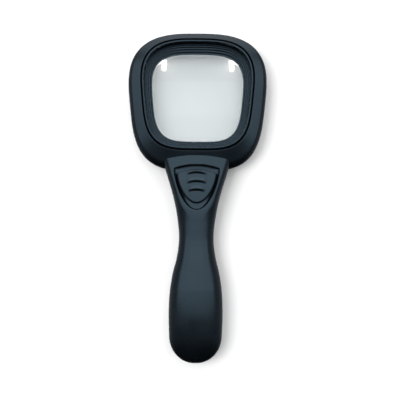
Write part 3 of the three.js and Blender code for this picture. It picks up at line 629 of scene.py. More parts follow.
def shield_edges(axes, size):
    """Plan distances to a shield outline: to its sides with the round bottom, and to the arc on top."""
    x, y = axes[0], axes[1]
    v = np.clip((size["corner"] - y) / (size["corner"] - size["bottom"]), 0, None)
    sides = (x / size["half_width"]) ** 2 + v ** SHIELD_POWER - 1
    dx = 2 * x / size["half_width"] ** 2
    dy = SHIELD_POWER * v ** (SHIELD_POWER - 1) / (size["corner"] - size["bottom"])
    sides = sides / np.sqrt(dx * dx + dy * dy + 1e-6)
    sagitta = size["apex"] - size["corner"]
    top = y - size["corner"] - sagitta * (1 - (x / size["half_width"]) ** 2)
    return sides, top


def shield_field(axes, size, radius):
    return cut(*shield_edges(axes, size), radius)


def recess_floor(axes):
    """Height of the recess floor, which turns up gently at the sides and sharply at both ends."""
    y = axes[1]
    sides, top = shield_edges(axes, RECESS)
    along = np.clip((RECESS["corner"] - y) / (RECESS["corner"] - RECESS["bottom"]), 0, 1)
    side_slope = 0.85 - 0.7 * along ** 3
    from_sides = 1 - np.exp(np.minimum(sides, 0) / side_slope)
    from_top = 1 - np.exp(np.minimum(top, 0) / 0.3)
    fall = RECESS_FALL * np.clip(RECESS["apex"] - y, 0, FALL_REACH)
    return collar_top(y) - (DISH_DEPTH + fall) * np.minimum(from_sides, from_top)


def trimmed_handle(axes):
    """The handle's outer skin with the collar's flat, its arc end and room for the head."""
    x, y, z = axes
    body = handle_field(axes)
    body = cut(body, (z - collar_top(y)) * np.ones_like(body), 0.45)
    arc = np.sqrt(x * x + (y - COLLAR_APEX_Y + COLLAR_ARC_RADIUS) ** 2) - COLLAR_ARC_RADIUS
    body = cut(body, arc, 0.3)
    near_head = y.ravel() > NEAR_HEAD_Y
    head = np.full(body.shape, FAR_AWAY)
    head[:, near_head, :] = head_field([x, y[:, near_head, :], z])
    return cut(body, GAP - head, 0.2)


def tray_field(axes):
    """Room for the battery tray: its straight sides and sloped shoulders, with a gap round it."""
    low, high = (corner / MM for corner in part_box("battery_tray"))
    x, y, z = axes
    slope = np.abs(x) * TRAY_SHOULDER[0] + z * TRAY_SHOULDER[1] - TRAY_SHOULDER_REACH
    sides = overlap(np.abs(x) - high[0], slab(z, low[2], high[2]), slope)
    return overlap(sides, slab(y, low[1], high[1])) - GAP


def door_region(axes, grow):
    x, y, z = axes
    across = np.clip(np.abs(x) / (DOOR_HALF_X + grow), 0, 1)
    arch_y = DOOR_ARCH[0] + (DOOR_ARCH[1] - DOOR_ARCH[0]) * np.sqrt(np.clip(1 - across ** 2.6, 0, 1)) + grow
    plan = cut(np.abs(x) - DOOR_HALF_X - grow, (y - arch_y) * 0.75, 0.8)
    plate = cut(plan, z - DOOR_ROOF_Z - grow)
    return join(plate, overlap(y - DOOR_CAP_Y - grow, z - SEAM_Z))


def handle_front_shell():
    axes = grid((-24, -108.2, 9.6), (24, 28.8, 24.8), (0.32, 0.4, 0.3))
    y, z = axes[1:]
    body = trimmed_handle(axes)
    recess = cut(shield_field(axes, RECESS, 1.2), recess_floor(axes) - z)
    shell = cut(body, -as_distance(recess, axes), 0.25)
    hollow = overlap(handle_field(axes, WALL), slab(y, *HOLLOW_Y))
    pad = block(axes, (-20, 20), (-14, 30), (RECESS_PAD_Z, 40))
    shell = cut(shell, -cut(hollow, -pad), 0.4)
    shell = cut(shell, -tray_field(axes))
    slot = stem_block(axes, STEM_HALF[0] + GAP, STEM_HALF[1] + TRAVEL + 0.4, (12, 30))
    shell = cut(shell, -slot, 0.2)
    shell = cut(shell, FRONT_SEAM_Z - z, 0.25)
    return solid_object("handle_front_moulding", shell, axes)


def handle_rear_shell():
    axes = grid((-24, -97, -0.6), (24, 21.6, 11.4), (0.32, 0.4, 0.3))
    y, z = axes[1:]
    half = cut(trimmed_handle(axes), z - REAR_SEAM_Z, 0.25)
    hollow = overlap(handle_field(axes, WALL), y - HOLLOW_Y[1])
    floor_pad = block(axes, (-40, 40), FLOOR_PAD_Y, (-5, FLOOR_PAD_Z))
    shell = cut(half, -cut(hollow, -floor_pad), 0.4)
    rails = mirrored_block(axes, (DOOR_HALF_X + GAP, RAIL_X), RAIL_Y, (-5, RAIL_TOP_Z))
    shell = join(shell, overlap(rails, half))
    shell = cut(shell, -door_region(axes, GAP), 0.25)
    shell = cut(shell, -tray_field(axes))
    groove_x = DOOR_HALF_X + TONGUE_REACH + GAP
    groove_z = (TONGUE_TOP_Z - TONGUE_THICKNESS - GAP, TONGUE_TOP_Z + GAP)
    shell = cut(shell, -block(axes, (-groove_x, groove_x), (-110, TONGUE_Y[1] + 1), groove_z))
    for name in ("neck_screw", *TONGUE_SCREWS):
        radius = upright(axes, *node_middle(name)[:2], 0)
        if name == "neck_screw":
            shell = join(shell, overlap(radius - REAR_POST, 4 - z, half), 0.3)
        shell = cut(shell, -overlap(radius - SCREW_RECESS, z - 5), 0.25)
        shell = cut(shell, -(radius - SCREW_HOLE))
    return solid_object("handle_rear_moulding", shell, axes)


def battery_cover():
    axes = grid((-18, -108.2, -0.6), (18, -40, 11.2), (0.3, 0.36, 0.28))
    x, y, z = axes
    outer = handle_field(axes)
    door = cut(outer, door_region(axes, 0.0), 0.25)
    hollow = overlap(handle_field(axes, WALL), HOLLOW_Y[0] - y)
    door = cut(cut(door, -hollow, 0.3), -tray_field(axes))
    door = cut(door, z - REAR_SEAM_Z, 0.25)
    walls = mirrored_block(axes, (DOOR_HALF_X - DOOR_WALL, DOOR_HALF_X), (DOOR_CAP_Y - 2, TONGUE_Y[1]),
                           (2.6, TONGUE_TOP_Z))
    door = join(door, overlap(walls, outer))
    tongues = mirrored_block(axes, (DOOR_HALF_X - 0.5, DOOR_HALF_X + TONGUE_REACH), TONGUE_Y,
                             (TONGUE_TOP_Z - TONGUE_THICKNESS, TONGUE_TOP_Z))
    door = join(door, tongues)
    for i in range(GRIP_COUNT):
        bow = GRIP_Y - GRIP_PITCH * i + 0.012 * x * x
        groove = cut(np.abs(y - bow) - GRIP_HALF_WIDTH, np.abs(x) - GRIP_REACH + 0.35 * i, 0.4)
        door = cut(door, -cut(groove, -outer - GRIP_DEPTH, 0.2), 0.2)
    return solid_object("battery_door", door, axes)


def slide_button():
    axes = grid((-13.4, -4.4, 14.8), (13.4, 19.4, 23.2), (0.2, 0.2, 0.18))
    x, y, z = axes
    top = collar_top(y) + BUTTON_RISE - (y - BUTTON_CREST_Y) ** 2 / 420 - x * x / 700
    for rib_y, half_width in RIBS:
        along = y + x * x / 32 - rib_y
        fullness = np.clip(1 - (x / half_width) ** 2, 0, 1) ** 0.5
        ramp = np.clip(1 - along / RIB_RAMP, 0, 1) * (along > 0)
        drop = np.clip(1 + along / RIB_DROP, 0, 1) * (along <= 0)
        top = top + RIB_HEIGHT * fullness * (ramp + drop)
    upper = (z - top) * 0.97
    lower = collar_top(y) - RECESS_DEPTH + GAP - z
    sides, arc = shield_edges(axes, BUTTON)
    plate = cut(cut(cut(sides, upper, BUTTON_EDGE), arc, BUTTON_ARC_EDGE), lower, BUTTON_LOWER_EDGE)
    stem = stem_block(axes, *STEM_HALF, (15.4, 20.6))
    socket = stem_block(axes, KNOB_HALF + GAP, KNOB_HALF + GAP, (10, 17.6))
    return solid_object("thumb_slider", cut(join(plate, stem, 0.2), -socket), axes)


# -------- small solids

def carved(name, low, high, step, shape):
    """A small solid from a field function, sampled a little beyond its box."""
    spare = 2 * step
    axes = grid([v - spare for v in low], [v + spare for v in high], (step, step, step))
    return solid_object(name, shape(axes) + sum(0 * axis for axis in axes), axes)


def round_block(axes, x, y, z, radius):
    """A block with rounded edges."""
    sides = cut(slab(axes[0], *x), slab(axes[1], *y), radius)
    return cut(sides, slab(axes[2], *z), radius)


def lathe(name, profile, origin, axis, sides=40):
    """A solid of revolution from (radius, along) pairs; both ends of the profile lie on the axis."""
    turn = np.array(Vector((0, 0, 1)).rotation_difference(Vector(axis)).to_matrix())
    angles = np.arange(sides) * 2 * math.pi / sides
    circle = np.column_stack([np.cos(angles), np.sin(angles)])
    loops = [at_height(radius * circle, along) @ turn.T + np.array(origin) for radius, along in profile[1:-1]]
    ends = [turn @ (0, 0, profile[i][1]) + np.array(origin) for i in (0, -1)]
    return loops_mesh(name, loops, poles=ends)


def soft_profile(corners):
    """(radius, along) pairs with the corners that have a third number rounded by that much."""
    points = []
    for i, corner in enumerate(corners):
        here = np.array(corner[:2], float)
        if len(corner) == 2:
            points.append(here)
            continue
        sides = [np.array(corners[k][:2]) - here for k in (i - 1, i + 1)]
        start, end = [here + side * min(corner[2] / np.linalg.norm(side), 0.5) for side in sides]
        points += bend(start, here, end, 4)
    return points


def smooth_path(points, steps):
    """Points evenly along a centripetal Catmull-Rom curve."""
    points = np.array(points, float)
    padded = np.vstack([2 * points[0] - points[1], points, 2 * points[-1] - points[-2]])
    knots = np.concatenate([[0], np.cumsum(np.linalg.norm(np.diff(padded, axis=0), axis=1) ** 0.5)])

    def between(a, b, start, end, u):
        return a * (end - u) / (end - start) + b * (u - start) / (end - start)

    found = []
    for u in np.linspace(knots[1], knots[-2], steps + 1):
        i = min(max(int(np.searchsorted(knots, u, side="right")) - 1, 1), len(padded) - 3)
        t, level = knots[i - 1:i + 3], padded[i - 1:i + 3]
        for gap in (1, 2):
            level = [between(level[k], level[k + 1], t[k], t[k + gap], u) for k in range(4 - gap)]
        found.append(between(*level, t[1], t[2], u))
    return np.array(found)


def tube(name, path, radius):
    """A round wire along a path, with softly rounded ends."""
    path = np.asarray(path, float)
    tangents = np.gradient(path, axis=0)
    tangents /= np.linalg.norm(tangents, axis=1)[:, None]
    side = np.cross(tangents[0], (0, 0, 1) if abs(tangents[0][2]) < 0.9 else (1, 0, 0))
    angles = np.arange(TUBE_SIDES) * 2 * math.pi / TUBE_SIDES
    loops = []
    for i, (middle, along) in enumerate(zip(path, tangents)):
        side = side - along * side.dot(along)
        side /= np.linalg.norm(side)
        other = np.cross(along, side)
        ring = np.outer(np.cos(angles), side) + np.outer(np.sin(angles), other)
        if i == 0:
            loops.append(middle + ring * radius * 0.75)
            middle = middle + along * radius * 0.2
        if i == len(path) - 1:
            loops.append(middle - along * radius * 0.2 + ring * radius)
            loops.append(middle + ring * radius * 0.75)
        else:
            loops.append(middle + ring * radius)
    return loops_mesh(name, loops, poles=(path[0], path[-1]))


# -------- parts added to the head mouldings

def prism(name, outline, z):
    """An upright prism used to cut or join."""
    low = [(x, y, z[0]) for x, y in outline]
    high = [(x, y, z[1]) for x, y in outline]
    count = len(outline)
    faces = [list(range(count))[::-1], list(range(count, 2 * count))]
    faces += [[i, (i + 1) % count, count + (i + 1) % count, count + i] for i in range(count)]
    return mesh_object(name, low + high, faces)


def box_outline(x, y):
    return [(x[0], y[0]), (x[1], y[0]), (x[1], y[1]), (x[0], y[1])]


def combine(obj, tool, operation="DIFFERENCE"):
    """Joins or cuts obj with a tool, which is then gone."""
    modifier = obj.modifiers.new("combine", "BOOLEAN")
    modifier.operation = operation
    modifier.solver = "EXACT"
    modifier.object = tool
    seen = obj.evaluated_get(bpy.context.evaluated_depsgraph_get())
    mesh = bpy.data.meshes.new_from_object(seen)
    obj.modifiers.clear()
    obj.data = mesh
    bpy.data.objects.remove(tool)


HEAD_SCREWS = ("head_screw_upper_right", "head_screw_upper_left", "head_screw_lower_left",
               "head_screw_lower_right")
TONGUE_SCREWS = ("tongue_screw_left", "tongue_screw_right")
LAMPS = ("led_left", "led_right")


def rod(name, x, y, radius, z):
    angles = [2 * math.pi * i / ROD_SIDES for i in range(ROD_SIDES)]
    return prism(name, [(x + radius * math.cos(a), y + radius * math.sin(a)) for a in angles], z)


def front_shell_with_posts():
    shell = head_front_shell()
    for name in HEAD_SCREWS:
        x, y, _ = node_middle(name)
        combine(shell, rod("post", x, y, FRONT_POST, (FRONT_SEAM_Z, FRONT_POST_TOP_Z)), "UNION")
        combine(shell, rod("hole", x, y, SCREW_HOLE, (FRONT_SEAM_Z - 1, FRONT_HOLE_TOP_Z)))
    shell.data.set_sharp_from_angle(angle=SHARP_ANGLE)
    return shell


def head_rear_block():
    """The rear moulding's outer shape, filled in and a little smaller."""
    rim = head_loop(RIM, -POST_INSET, REAR_SEAM_Z)
    flat_start = mix_loops(rim, head_loop(OPENING, 0.8, 0), REAR_FLAT[0])
    loops = elliptic_round(rim, flat_start, REAR_SEAM_Z, POST_INSET - REAR_SEAM_Z, 12)
    return loops_mesh("block", loops, poles=[(0, RIM["cy"], REAR_SEAM_Z), (0, RIM["cy"], POST_INSET)])


def rear_shell_with_posts():
    shell = head_rear_shell()
    combine(shell, prism("tongue", box_outline((-9, 9), (3.5, 20)), (6.6, 8.6)), "UNION")
    for name in HEAD_SCREWS:
        x, y, _ = node_middle(name)
        post = rod("post", x, y, REAR_POST, (1, REAR_SEAM_Z))
        combine(post, head_rear_block(), "INTERSECT")
        combine(shell, post, "UNION")
        combine(shell, rod("recess", x, y, SCREW_RECESS, (-1, 3)))
        combine(shell, rod("hole", x, y, SCREW_HOLE, (2, REAR_SEAM_Z + 1)))
    for name in LAMPS:
        x, _, z = node_middle(name)
        profile = [(0, 0), (2.2, 0), (2.2, 12.8), (0, 12.8)]
        origin = (x, node_box(name)[0][1] + 2, z)
        combine(shell, lathe("lamp_hole", profile, origin, (0, 1, 0)))
        gate_x = sorted(math.copysign(edge, x) for edge in LAMP_GATE_X)
        combine(shell, prism("lamp_gate", box_outline(gate_x, LAMP_GATE_Y), LAMP_GATE_Z))
    for name in TONGUE_SCREWS:
        combine(shell, rod("hole", *node_middle(name)[:2], SCREW_HOLE, (5, 10)))
    combine(shell, prism("gate", box_outline((-8.5, 8.5), (15, 23)), (9, 12)))
    shell.data.set_sharp_from_angle(angle=SHARP_ANGLE)
    return shell


# -------- lamps and wires

def lamp(node):
    """An LED with a round tip towards -Y: its body, and its two legs with the cup and the post inside."""
    low, high = node_box(node)
    x, _, z = node_middle(node)
    tip, base = low[1], high[1] - LEG_LENGTH
    arc = [i / 12 * math.pi / 2 for i in range(13)]
    profile = [(LAMP_RADIUS * math.sin(a), LAMP_RADIUS * (1 - math.cos(a))) for a in arc]
    flange = base - 1 - tip
    rim = LAMP_RADIUS + 0.35
    profile += soft_profile([(LAMP_RADIUS, flange - 0.2), (LAMP_RADIUS, flange, 0.1), (rim, flange, 0.1),
                             (rim, flange + 1, 0.1), (0, flange + 1)])[1:]
    body = lathe(node + "_body", profile, (x, tip, z), (0, 1, 0), 48)

    def bar(axes, x_range, start, end, half_z, radius):
        return round_block(axes, x_range, (tip + start, tip + end), (z - half_z, z + half_z), radius)

    def leads(axes):
        legs = bar(mirrored(axes, x), (0.39, 0.89), 2.9, high[1] - tip, 0.25, 0.08)
        anvil = bar(axes, (x - 0.95, x - 0.1), 2.2, 4.2, 0.35, 0.1)
        post = bar(axes, (x + 0.2, x + 0.95), 2.8, 4.0, 0.3, 0.1)
        cup = cut(lengthwise(axes, x - 0.45, z, 0.6), slab(axes[1], tip + 1.7, tip + 2.6), 0.06)
        hollow = lengthwise(axes, x - 0.45, z, 0.45) + (axes[1] - tip - 1.7) * 0.4
        cup = cut(cup, -overlap(hollow, axes[1] - tip - 2.2))
        die = bar(axes, (x - 0.6, x - 0.3), 2.05, 2.3, 0.15, 0.03)
        return join(join(join(join(legs, anvil), post), cup), die)

    ends = (x - 1.1, tip + 1.6, z - 0.7), (x + 1.1, high[1], z + 0.7)
    return body, carved(node + "_leads", *ends, 0.07, leads)


def lamp_wire(side, offset, z, end_x):
    """The path of a wire from a lamp, round the lens and down into the handle."""
    end_y = node_box("led_right")[1][1]
    lamp_x, _, lamp_z = node_middle("led_right")
    start_x = lamp_x + offset
    points = [(side * start_x, end_y + 0.8, lamp_z), (side * (start_x + 0.8), end_y + 2.1, z - 2.4)]
    for degrees in range(42, -65, -13):
        x, y = outline_at(OPENING, np.array(math.radians(degrees)), LENS_FLANGE + 2.8)
        points.append((side * x, y, z))
    points += [(side * (end_x + 3), 25.5, 9.6), (side * end_x, 20, 9.6), (side * end_x, 14.8, 9.6)]
    return smooth_path(points, 150)


def battery_wire(side):
    points = [(5.5, -42.2, 13.2), (5.8, -40, 12.8), (6.2, -36, 11), (6.2, -26, 9.7), (5.6, -18, 9.6),
              (5, -12, 9.6), (5, -9.3, 9.6)]
    return smooth_path([(side * x, y, z) for x, y, z in points], 90)


# -------- switch and board

def switch_housing():
    low, high = node_box("switch_body")

    def shape(axes):
        body = round_block(axes, *zip(low, high), 0.35)
        slot = round_block(axes, (-1.3, 1.3), (STEM_Y - 4, STEM_Y + 4), (high[2] - 1.2, 20), 0.1)
        body = cut(body, -slot, 0.12)
        seam = slab(axes[2], low[2] + 0.9, low[2] + 1.15)
        body = cut(body, -cut(seam, -(body + 0.15)))
        for y in (low[1] + 2.2, high[1] - 2.2):
            crimp = overlap(slab(axes[1], y - 0.8, y + 0.8), slab(axes[2], low[2] + 0.4, low[2] + 1.9))
            body = cut(body, -cut(crimp, 3.5 - np.abs(axes[0])), 0.05)
        return body

    return carved("switch_housing", low, high, 0.13, shape)


def switch_knob():
    low, high = node_box("switch_knob")
    return carved("switch_lever", low, high, 0.09, lambda axes: round_block(axes, *zip(low, high), 0.2))


PIN_PLACES = [(x, STEM_Y + 3 * k) for x in (-2.4, 2.4) for k in (-1, 0, 1)]
PAD_PLACES = [(x, 12.6) for x in (-6.2, -3.8, 3.8, 6.2)] + [(-5, -7.2), (5, -7.2)]


def board():
    low, high = node_box("circuit_board")

    def shape(axes):
        plan = cut(slab(axes[0], low[0], high[0]), slab(axes[1], low[1], high[1]), 0.9)
        plate = cut(plan, slab(axes[2], low[2], high[2]), 0.08)
        for x, y in PIN_PLACES + PAD_PLACES:
            plate = cut(plate, -upright(axes, x, y, 0.42))
        return plate

    return carved("switch_board", low, high, 0.17, shape)


def solder():
    low, high = node_box("circuit_board")

    def shape(axes):
        whole = np.full(np.broadcast_shapes(*[a.shape for a in axes]), 9.0)
        for x, y in PIN_PLACES + PAD_PLACES:
            pin = cut(upright(axes, x, y, 0.3), slab(axes[2], low[2] - 0.4, high[2] + 0.1), 0.05)
            bead = cut(around(axes, (x, y, low[2] + 0.35), 0.85), axes[2] - low[2] + 0.02)
            whole = join(whole, join(pin, bead))
        return whole

    ends = (low[0], low[1], low[2] - 0.6), (high[0], high[1], high[2] + 0.2)
    return carved("board_solder", *ends, 0.13, shape)


def resistor():
    low, high = node_box("resistor")
    _, y, z = node_middle("resistor")
    radius = (high[2] - low[2]) / 2
    length = high[0] - low[0]
    corners = [(0, 0), (0.3, 0, 0.1), (0.3, 0.35), (radius, 0.35, 0.35), (radius, 1.7, 0.4)]
    corners.append((radius * 0.84, 2.0, 0.4))
    corners += [(r, length - a, *rest) for r, a, *rest in corners[::-1]]
    return lathe("resistor_body", soft_profile(corners), (low[0], y, z), (1, 0, 0), 36)


# -------- cells, contacts, springs, tray

def cell(node, nub_side):
    """A cell's jacket, nub and base, along Y from its nub."""
    low, high = node_box(node)
    x, _, z = node_middle(node)
    radius = (high[0] - low[0]) / 2
    length = high[1] - low[1]
    origin = (x, high[1] if nub_side > 0 else low[1], z)
    jacket = [(0, 1.15), (3.6, 1.15), (3.75, 0.95, 0.15), (4.6, 0.95, 0.3), (radius, 1.5, 0.5), (radius, 2.1),
              (radius, length - 0.4, 0.35), (4.3, length - 0.06, 0.2), (4.1, length - 0.2), (0, length - 0.2)]
    nub = [(0, 1.3), (2.9, 1.3), (2.9, 1.2, 0.1), (2.6, 1.1, 0.15), (2.6, 0, 0.3), (0, 0)]
    base = [(0, length - 0.5), (4.0, length - 0.5), (4.0, length - 0.12, 0.1), (3.2, length, 0.1),
            (0, length)]
    parts = (("jacket", jacket, 64), ("nub", nub, 40), ("base", base, 48))
    return [lathe(f"{node}_{part}", soft_profile(corners), origin, (0, -nub_side, 0), sides)
            for part, corners, sides in parts]


def spring(node, x, from_y, to_y):
    """A coil that narrows from from_y to to_y."""
    shares = np.linspace(0, 1, 170)
    angles = shares * SPRING_TURNS * 2 * math.pi
    radius = SPRING_RADII[0] + (SPRING_RADII[1] - SPRING_RADII[0]) * shares
    along = from_y + (to_y - from_y) * shares
    path = np.column_stack([x + radius * np.cos(angles), along, CELL_Z + radius * np.sin(angles)])
    return tube(node + "_coil", path, SPRING_WIRE)


def plate_with_tab(node):
    """A contact plate: the bridge across both cells, or one cell's plate with a tab for its wire."""
    low, high = node_box(node)
    bridge = high[0] - low[0] > 12
    thick = (low[1], low[1] + 0.4) if bridge else CONTACT_Y
    side = math.copysign(1, low[0])
    seats = (-CELL_X, CELL_X) if bridge else (node_middle(node)[0] + 0.45 * side,)

    def shape(axes):
        plate = cut(slab(axes[0], low[0], high[0]), slab(axes[2], 6.5, CONTACT_TOP_Z), 0.7)
        plate = cut(plate, slab(axes[1], *thick), 0.1)
        for seat in seats:
            plate = cut(plate, -lengthwise(axes, seat, CELL_Z, 1.1))
        if bridge:
            return plate
        tab = round_block(axes, sorted((4.6 * side, 6.4 * side)), (thick[0] + 0.05, -42.6), (13, 13.4), 0.1)
        return join(plate, cut(tab, -upright(axes, 5.5 * side, -43.3, 0.35)), 0.1)

    return carved(node + "_plate", low, high, 0.1, shape)


def tray():
    low, high = node_box("battery_tray")

    def prism_field(axes, half_x, z, ridge_x, y):
        shoulder_x, shoulder_z = half_x - ridge_x, z[2] - z[1]
        norm = math.hypot(shoulder_x, shoulder_z)
        slope = (np.abs(axes[0]) * shoulder_z + axes[2] * shoulder_x) / norm
        level = (half_x * shoulder_z + z[1] * shoulder_x) / norm
        sides = cut(cut(np.abs(axes[0]) - half_x, slab(axes[2], z[0], z[2]), 0.3), slope - level, 0.6)
        return cut(sides, slab(axes[1], *y), 0.25)

    def shape(axes):
        outer = prism_field(axes, 11.65, (6.3, 12.5, 16.9), 8, (-97.5, -43.7))
        inner = prism_field(axes, 10.9, (5, 12.2, 16.1), 7.7, (-96.2, -45))
        slots = mirrored_block(axes, (4.2, 6.8), (-46, -43), (12.4, 14))
        ridge = overlap(np.abs(axes[0]) - 0.4, 15.1 - axes[2], slab(axes[1], -96.5, -44.8))
        return cut(join(cut(outer, -inner, 0.15), overlap(ridge, outer)), -slots)

    return carved("cell_cradle", low, high, 0.26, shape)


# -------- screws

def screw(node):
    """A pan-head screw with a cross recess and a spiral thread, its head at the low end."""
    (_, _, head_z), (_, _, top_z) = node_box(node)
    x, y, _ = node_middle(node)

    def shape(axes):
        across = [np.abs(axes[0] - x), np.abs(axes[1] - y)]
        up = axes[2] - head_z
        radius = upright(axes, x, y, 0)
        dome = 0.45 * (radius / 2) ** 2 - up
        head = cut(cut(radius - 2, dome, 0.2), up - 1.3, 0.12)
        wings = [np.maximum(a - 0.26, b - 1.0) for a, b in (across, across[::-1])]
        cross = np.maximum(np.minimum(*wings), up - 0.85 + radius * 0.35)
        head = cut(head, -cross, 0.06)
        turn = np.arctan2(axes[1] - y, axes[0] - x) / (2 * math.pi)
        phase = np.mod(up / THREAD_PITCH - turn, 1.0)
        crest = 0.74 + 0.25 * (1 - np.minimum(np.abs(phase - 0.5) * 3.2, 1))
        point = np.maximum((top_z - axes[2]) * 0.9 + 0.05, 0)
        shank = np.maximum(radius - np.minimum(crest, point), 1.0 - up)
        return join(head, np.maximum(shank * 0.8, axes[2] - top_z), 0.1)

    return carved(node + "_detail", (x - 2, y - 2, head_z), (x + 2, y + 2, top_z), 0.11, shape)


# -------- materials

class Nodes:
    """A node tree, with short calls for adding to it. Colours are plain (r, g, b)."""

    def __init__(self, tree):
        self.tree = tree

    def feed(self, socket, value):
        if isinstance(value, bpy.types.NodeSocket):
            self.tree.links.new(value, socket)
        elif isinstance(value, tuple):
            socket.default_value = (*value, 1.0)
        else:
            socket.default_value = value

    def node(self, kind, inputs=(), **settings):
        made = self.tree.nodes.new(kind)
        for key, value in settings.items():
            setattr(made, key, value)
        for key, value in dict(inputs).items():
            self.feed(made.inputs[key], value)
        return made

    def mix_shaders(self, share, first, second):
        return self.node("ShaderNodeMixShader", {0: share, 1: first, 2: second}).outputs[0]


class Tree(Nodes):
    """The nodes of one material."""

    def __init__(self, name):
        self.material = bpy.data.materials.new(name)
        self.material.use_nodes = True
        super().__init__(self.material.node_tree)
        self.shader = self.tree.nodes["Principled BSDF"]
        self.place = self.node("ShaderNodeTexCoord").outputs["Object"]

    def noise(self, scale, detail):
        inputs = {"Vector": self.place, "Scale": scale, "Detail": detail}
        return self.node("ShaderNodeTexNoise", inputs).outputs["Fac"]

    def remap(self, value, start, end, to_start, to_end):
        inputs = {"Value": value, "From Min": start, "From Max": end, "To Min": to_start, "To Max": to_end}
        return self.node("ShaderNodeMapRange", inputs).outputs["Result"]

    def patches(self, scale, detail, start, end, low=0.0, high=1.0):
        """Noise that runs from low to high between two of its own levels."""
        return self.remap(self.noise(scale, detail), start, end, low, high)

    def mix(self, share, a, b):
        return self.node("ShaderNodeMix", {0: share, 6: a, 7: b}, data_type="RGBA").outputs[2]

    def math(self, operation, a, b):
        return self.node("ShaderNodeMath", {0: a, 1: b}, operation=operation).outputs[0]

    def bump(self, height, strength, depth_mm):
        inputs = {"Strength": strength, "Distance": depth_mm * MM, "Height": height}
        self.feed(self.shader.inputs["Normal"], self.node("ShaderNodeBump", inputs).outputs[0])

    def set(self, **values):
        for key, value in values.items():
            self.feed(self.shader.inputs[key.replace("_", " ")], value)


def tinted(rgb, share, lift=0.0):
    return tuple(min(1, share * v + lift) for v in rgb)


def moulded(name, dark, pale, rough, grain_mm, grain_strength, dusty=0.3):
    """Moulded plastic: fine spark texture, slow changes of shade, faint dust and rubbed edges."""
    t = Tree(name)
    shade = t.mix(t.patches(70, 4, 0.35, 0.68), dark, pale)
    shade = t.mix(t.patches(2600, 2, 0.69, 0.74, 0, dusty), shade, tinted(pale, 2.2, 0.012))
    edge = t.remap(t.node("ShaderNodeNewGeometry").outputs["Pointiness"], 0.53, 0.62, 0, 0.5)
    rubbed = t.math("MULTIPLY", edge, t.noise(420, 4))
    shade = t.mix(rubbed, shade, tinted(pale, 1.6, 0.004))
    uneven = t.patches(55, 5, 0.3, 0.7, rough - 0.05, rough + 0.05)
    roughness = t.math("ADD", uneven, t.math("MULTIPLY", rubbed, -0.25))
    t.set(Base_Color=shade, Roughness=roughness, Specular_IOR_Level=0.64, Specular_Tint=COOL_SHEEN)
    grain = t.math("ADD", t.noise(1000 / grain_mm, 2), t.math("MULTIPLY", t.noise(300 / grain_mm, 3), 0.6))
    t.bump(grain, grain_strength, 0.02)
    return t.material


def plated(name, base, stained, rough):
    """Plated metal with faint tarnish and a fine grain."""
    t = Tree(name)
    t.set(Base_Color=t.mix(t.patches(350, 4, 0.4, 0.75), base, stained), Metallic=1.0)
    t.set(Roughness=t.patches(500, 5, 0.3, 0.7, rough - 0.07, rough + 0.1))
    t.bump(t.noise(2500, 3), 0.25, 0.01)
    return t.material


def glossy(name, base, deep, rough):
    """Smooth coloured plastic: insulation and housings."""
    t = Tree(name)
    t.set(Base_Color=t.mix(t.patches(225, 3, 0.35, 0.7), base, deep))
    t.set(Roughness=t.patches(900, 4, 0.3, 0.7, rough - 0.06, rough + 0.08))
    t.bump(t.noise(2700, 2), 0.15, 0.01)
    return t.material


def banded(name, base, band, axis, limits, rough):
    """A printed sleeve: plain bands of a second colour between limits along one axis, in millimetres."""
    t = Tree(name)
    along = t.node("ShaderNodeSeparateXYZ", {"Vector": t.place}).outputs[axis]
    share = 0.0
    for start, end in limits:
        middle, half = (start + end) / 2 * MM, (end - start) / 2 * MM
        away = t.math("ABSOLUTE", t.math("SUBTRACT", along, middle), 0.0)
        share = t.math("MAXIMUM", share, t.math("LESS_THAN", away, half))
    mottled = t.mix(t.patches(220, 4, 0.35, 0.7, 0, 0.35), base, tinted(base, 0.6))
    t.set(Base_Color=t.mix(share, mottled, band), Coat_Weight=0.3)
    t.set(Roughness=t.patches(600, 4, 0.3, 0.7, rough - 0.05, rough + 0.1))
    t.bump(t.noise(900, 3), 0.2, 0.01)
    return t.material


def solder_mask(name):
    """A printed board: green mask over faintly raised tracks."""
    t = Tree(name)
    cells = t.node("ShaderNodeTexVoronoi", {"Vector": t.place, "Scale": 420.0}, distance="MANHATTAN",
                   feature="DISTANCE_TO_EDGE").outputs["Distance"]
    track = t.remap(cells, 0.10, 0.14, 1, 0)
    t.set(Base_Color=t.mix(track, (0.012, 0.075, 0.035), (0.03, 0.15, 0.07)))
    t.set(Roughness=t.patches(300, 4, 0.3, 0.7, 0.3, 0.45))
    t.bump(t.math("ADD", track, t.math("MULTIPLY", t.noise(3000, 2), 0.2)), 0.4, 0.03)
    return t.material


def clear(name, tint, rough, ior, shadow_tint, glow=0.0):
    """Clear plastic with faint smears; lamps shine through it on to what is behind."""
    t = Tree(name)
    if glow:
        t.set(Emission_Color=(1.0, 0.98, 0.95), Emission_Strength=glow)
    t.set(Base_Color=t.mix(t.patches(40, 4, 0.4, 0.7), tint, tinted(tint, 0.985)))
    t.set(Transmission_Weight=1.0, IOR=ior, Roughness=t.patches(90, 5, 0.55, 0.75, rough, rough + 0.025))
    t.bump(t.noise(130, 2), 0.03, 0.01)
    through = t.node("ShaderNodeBsdfTransparent", {"Color": shadow_tint}).outputs[0]
    shadow = t.node("ShaderNodeLightPath").outputs["Is Shadow Ray"]
    shader = t.mix_shaders(shadow, t.shader.outputs[0], through)
    t.feed(t.tree.nodes["Material Output"].inputs["Surface"], shader)
    return t.material


def cell_sleeve(side, bands):
    material = banded("cell_sleeve_" + side, (0.035, 0.055, 0.085), (0.42, 0.27, 0.1), 1, bands, 0.28)
    return material, "cell_jacket"


COOL_SHEEN = (0.515, 0.78, 1.0)
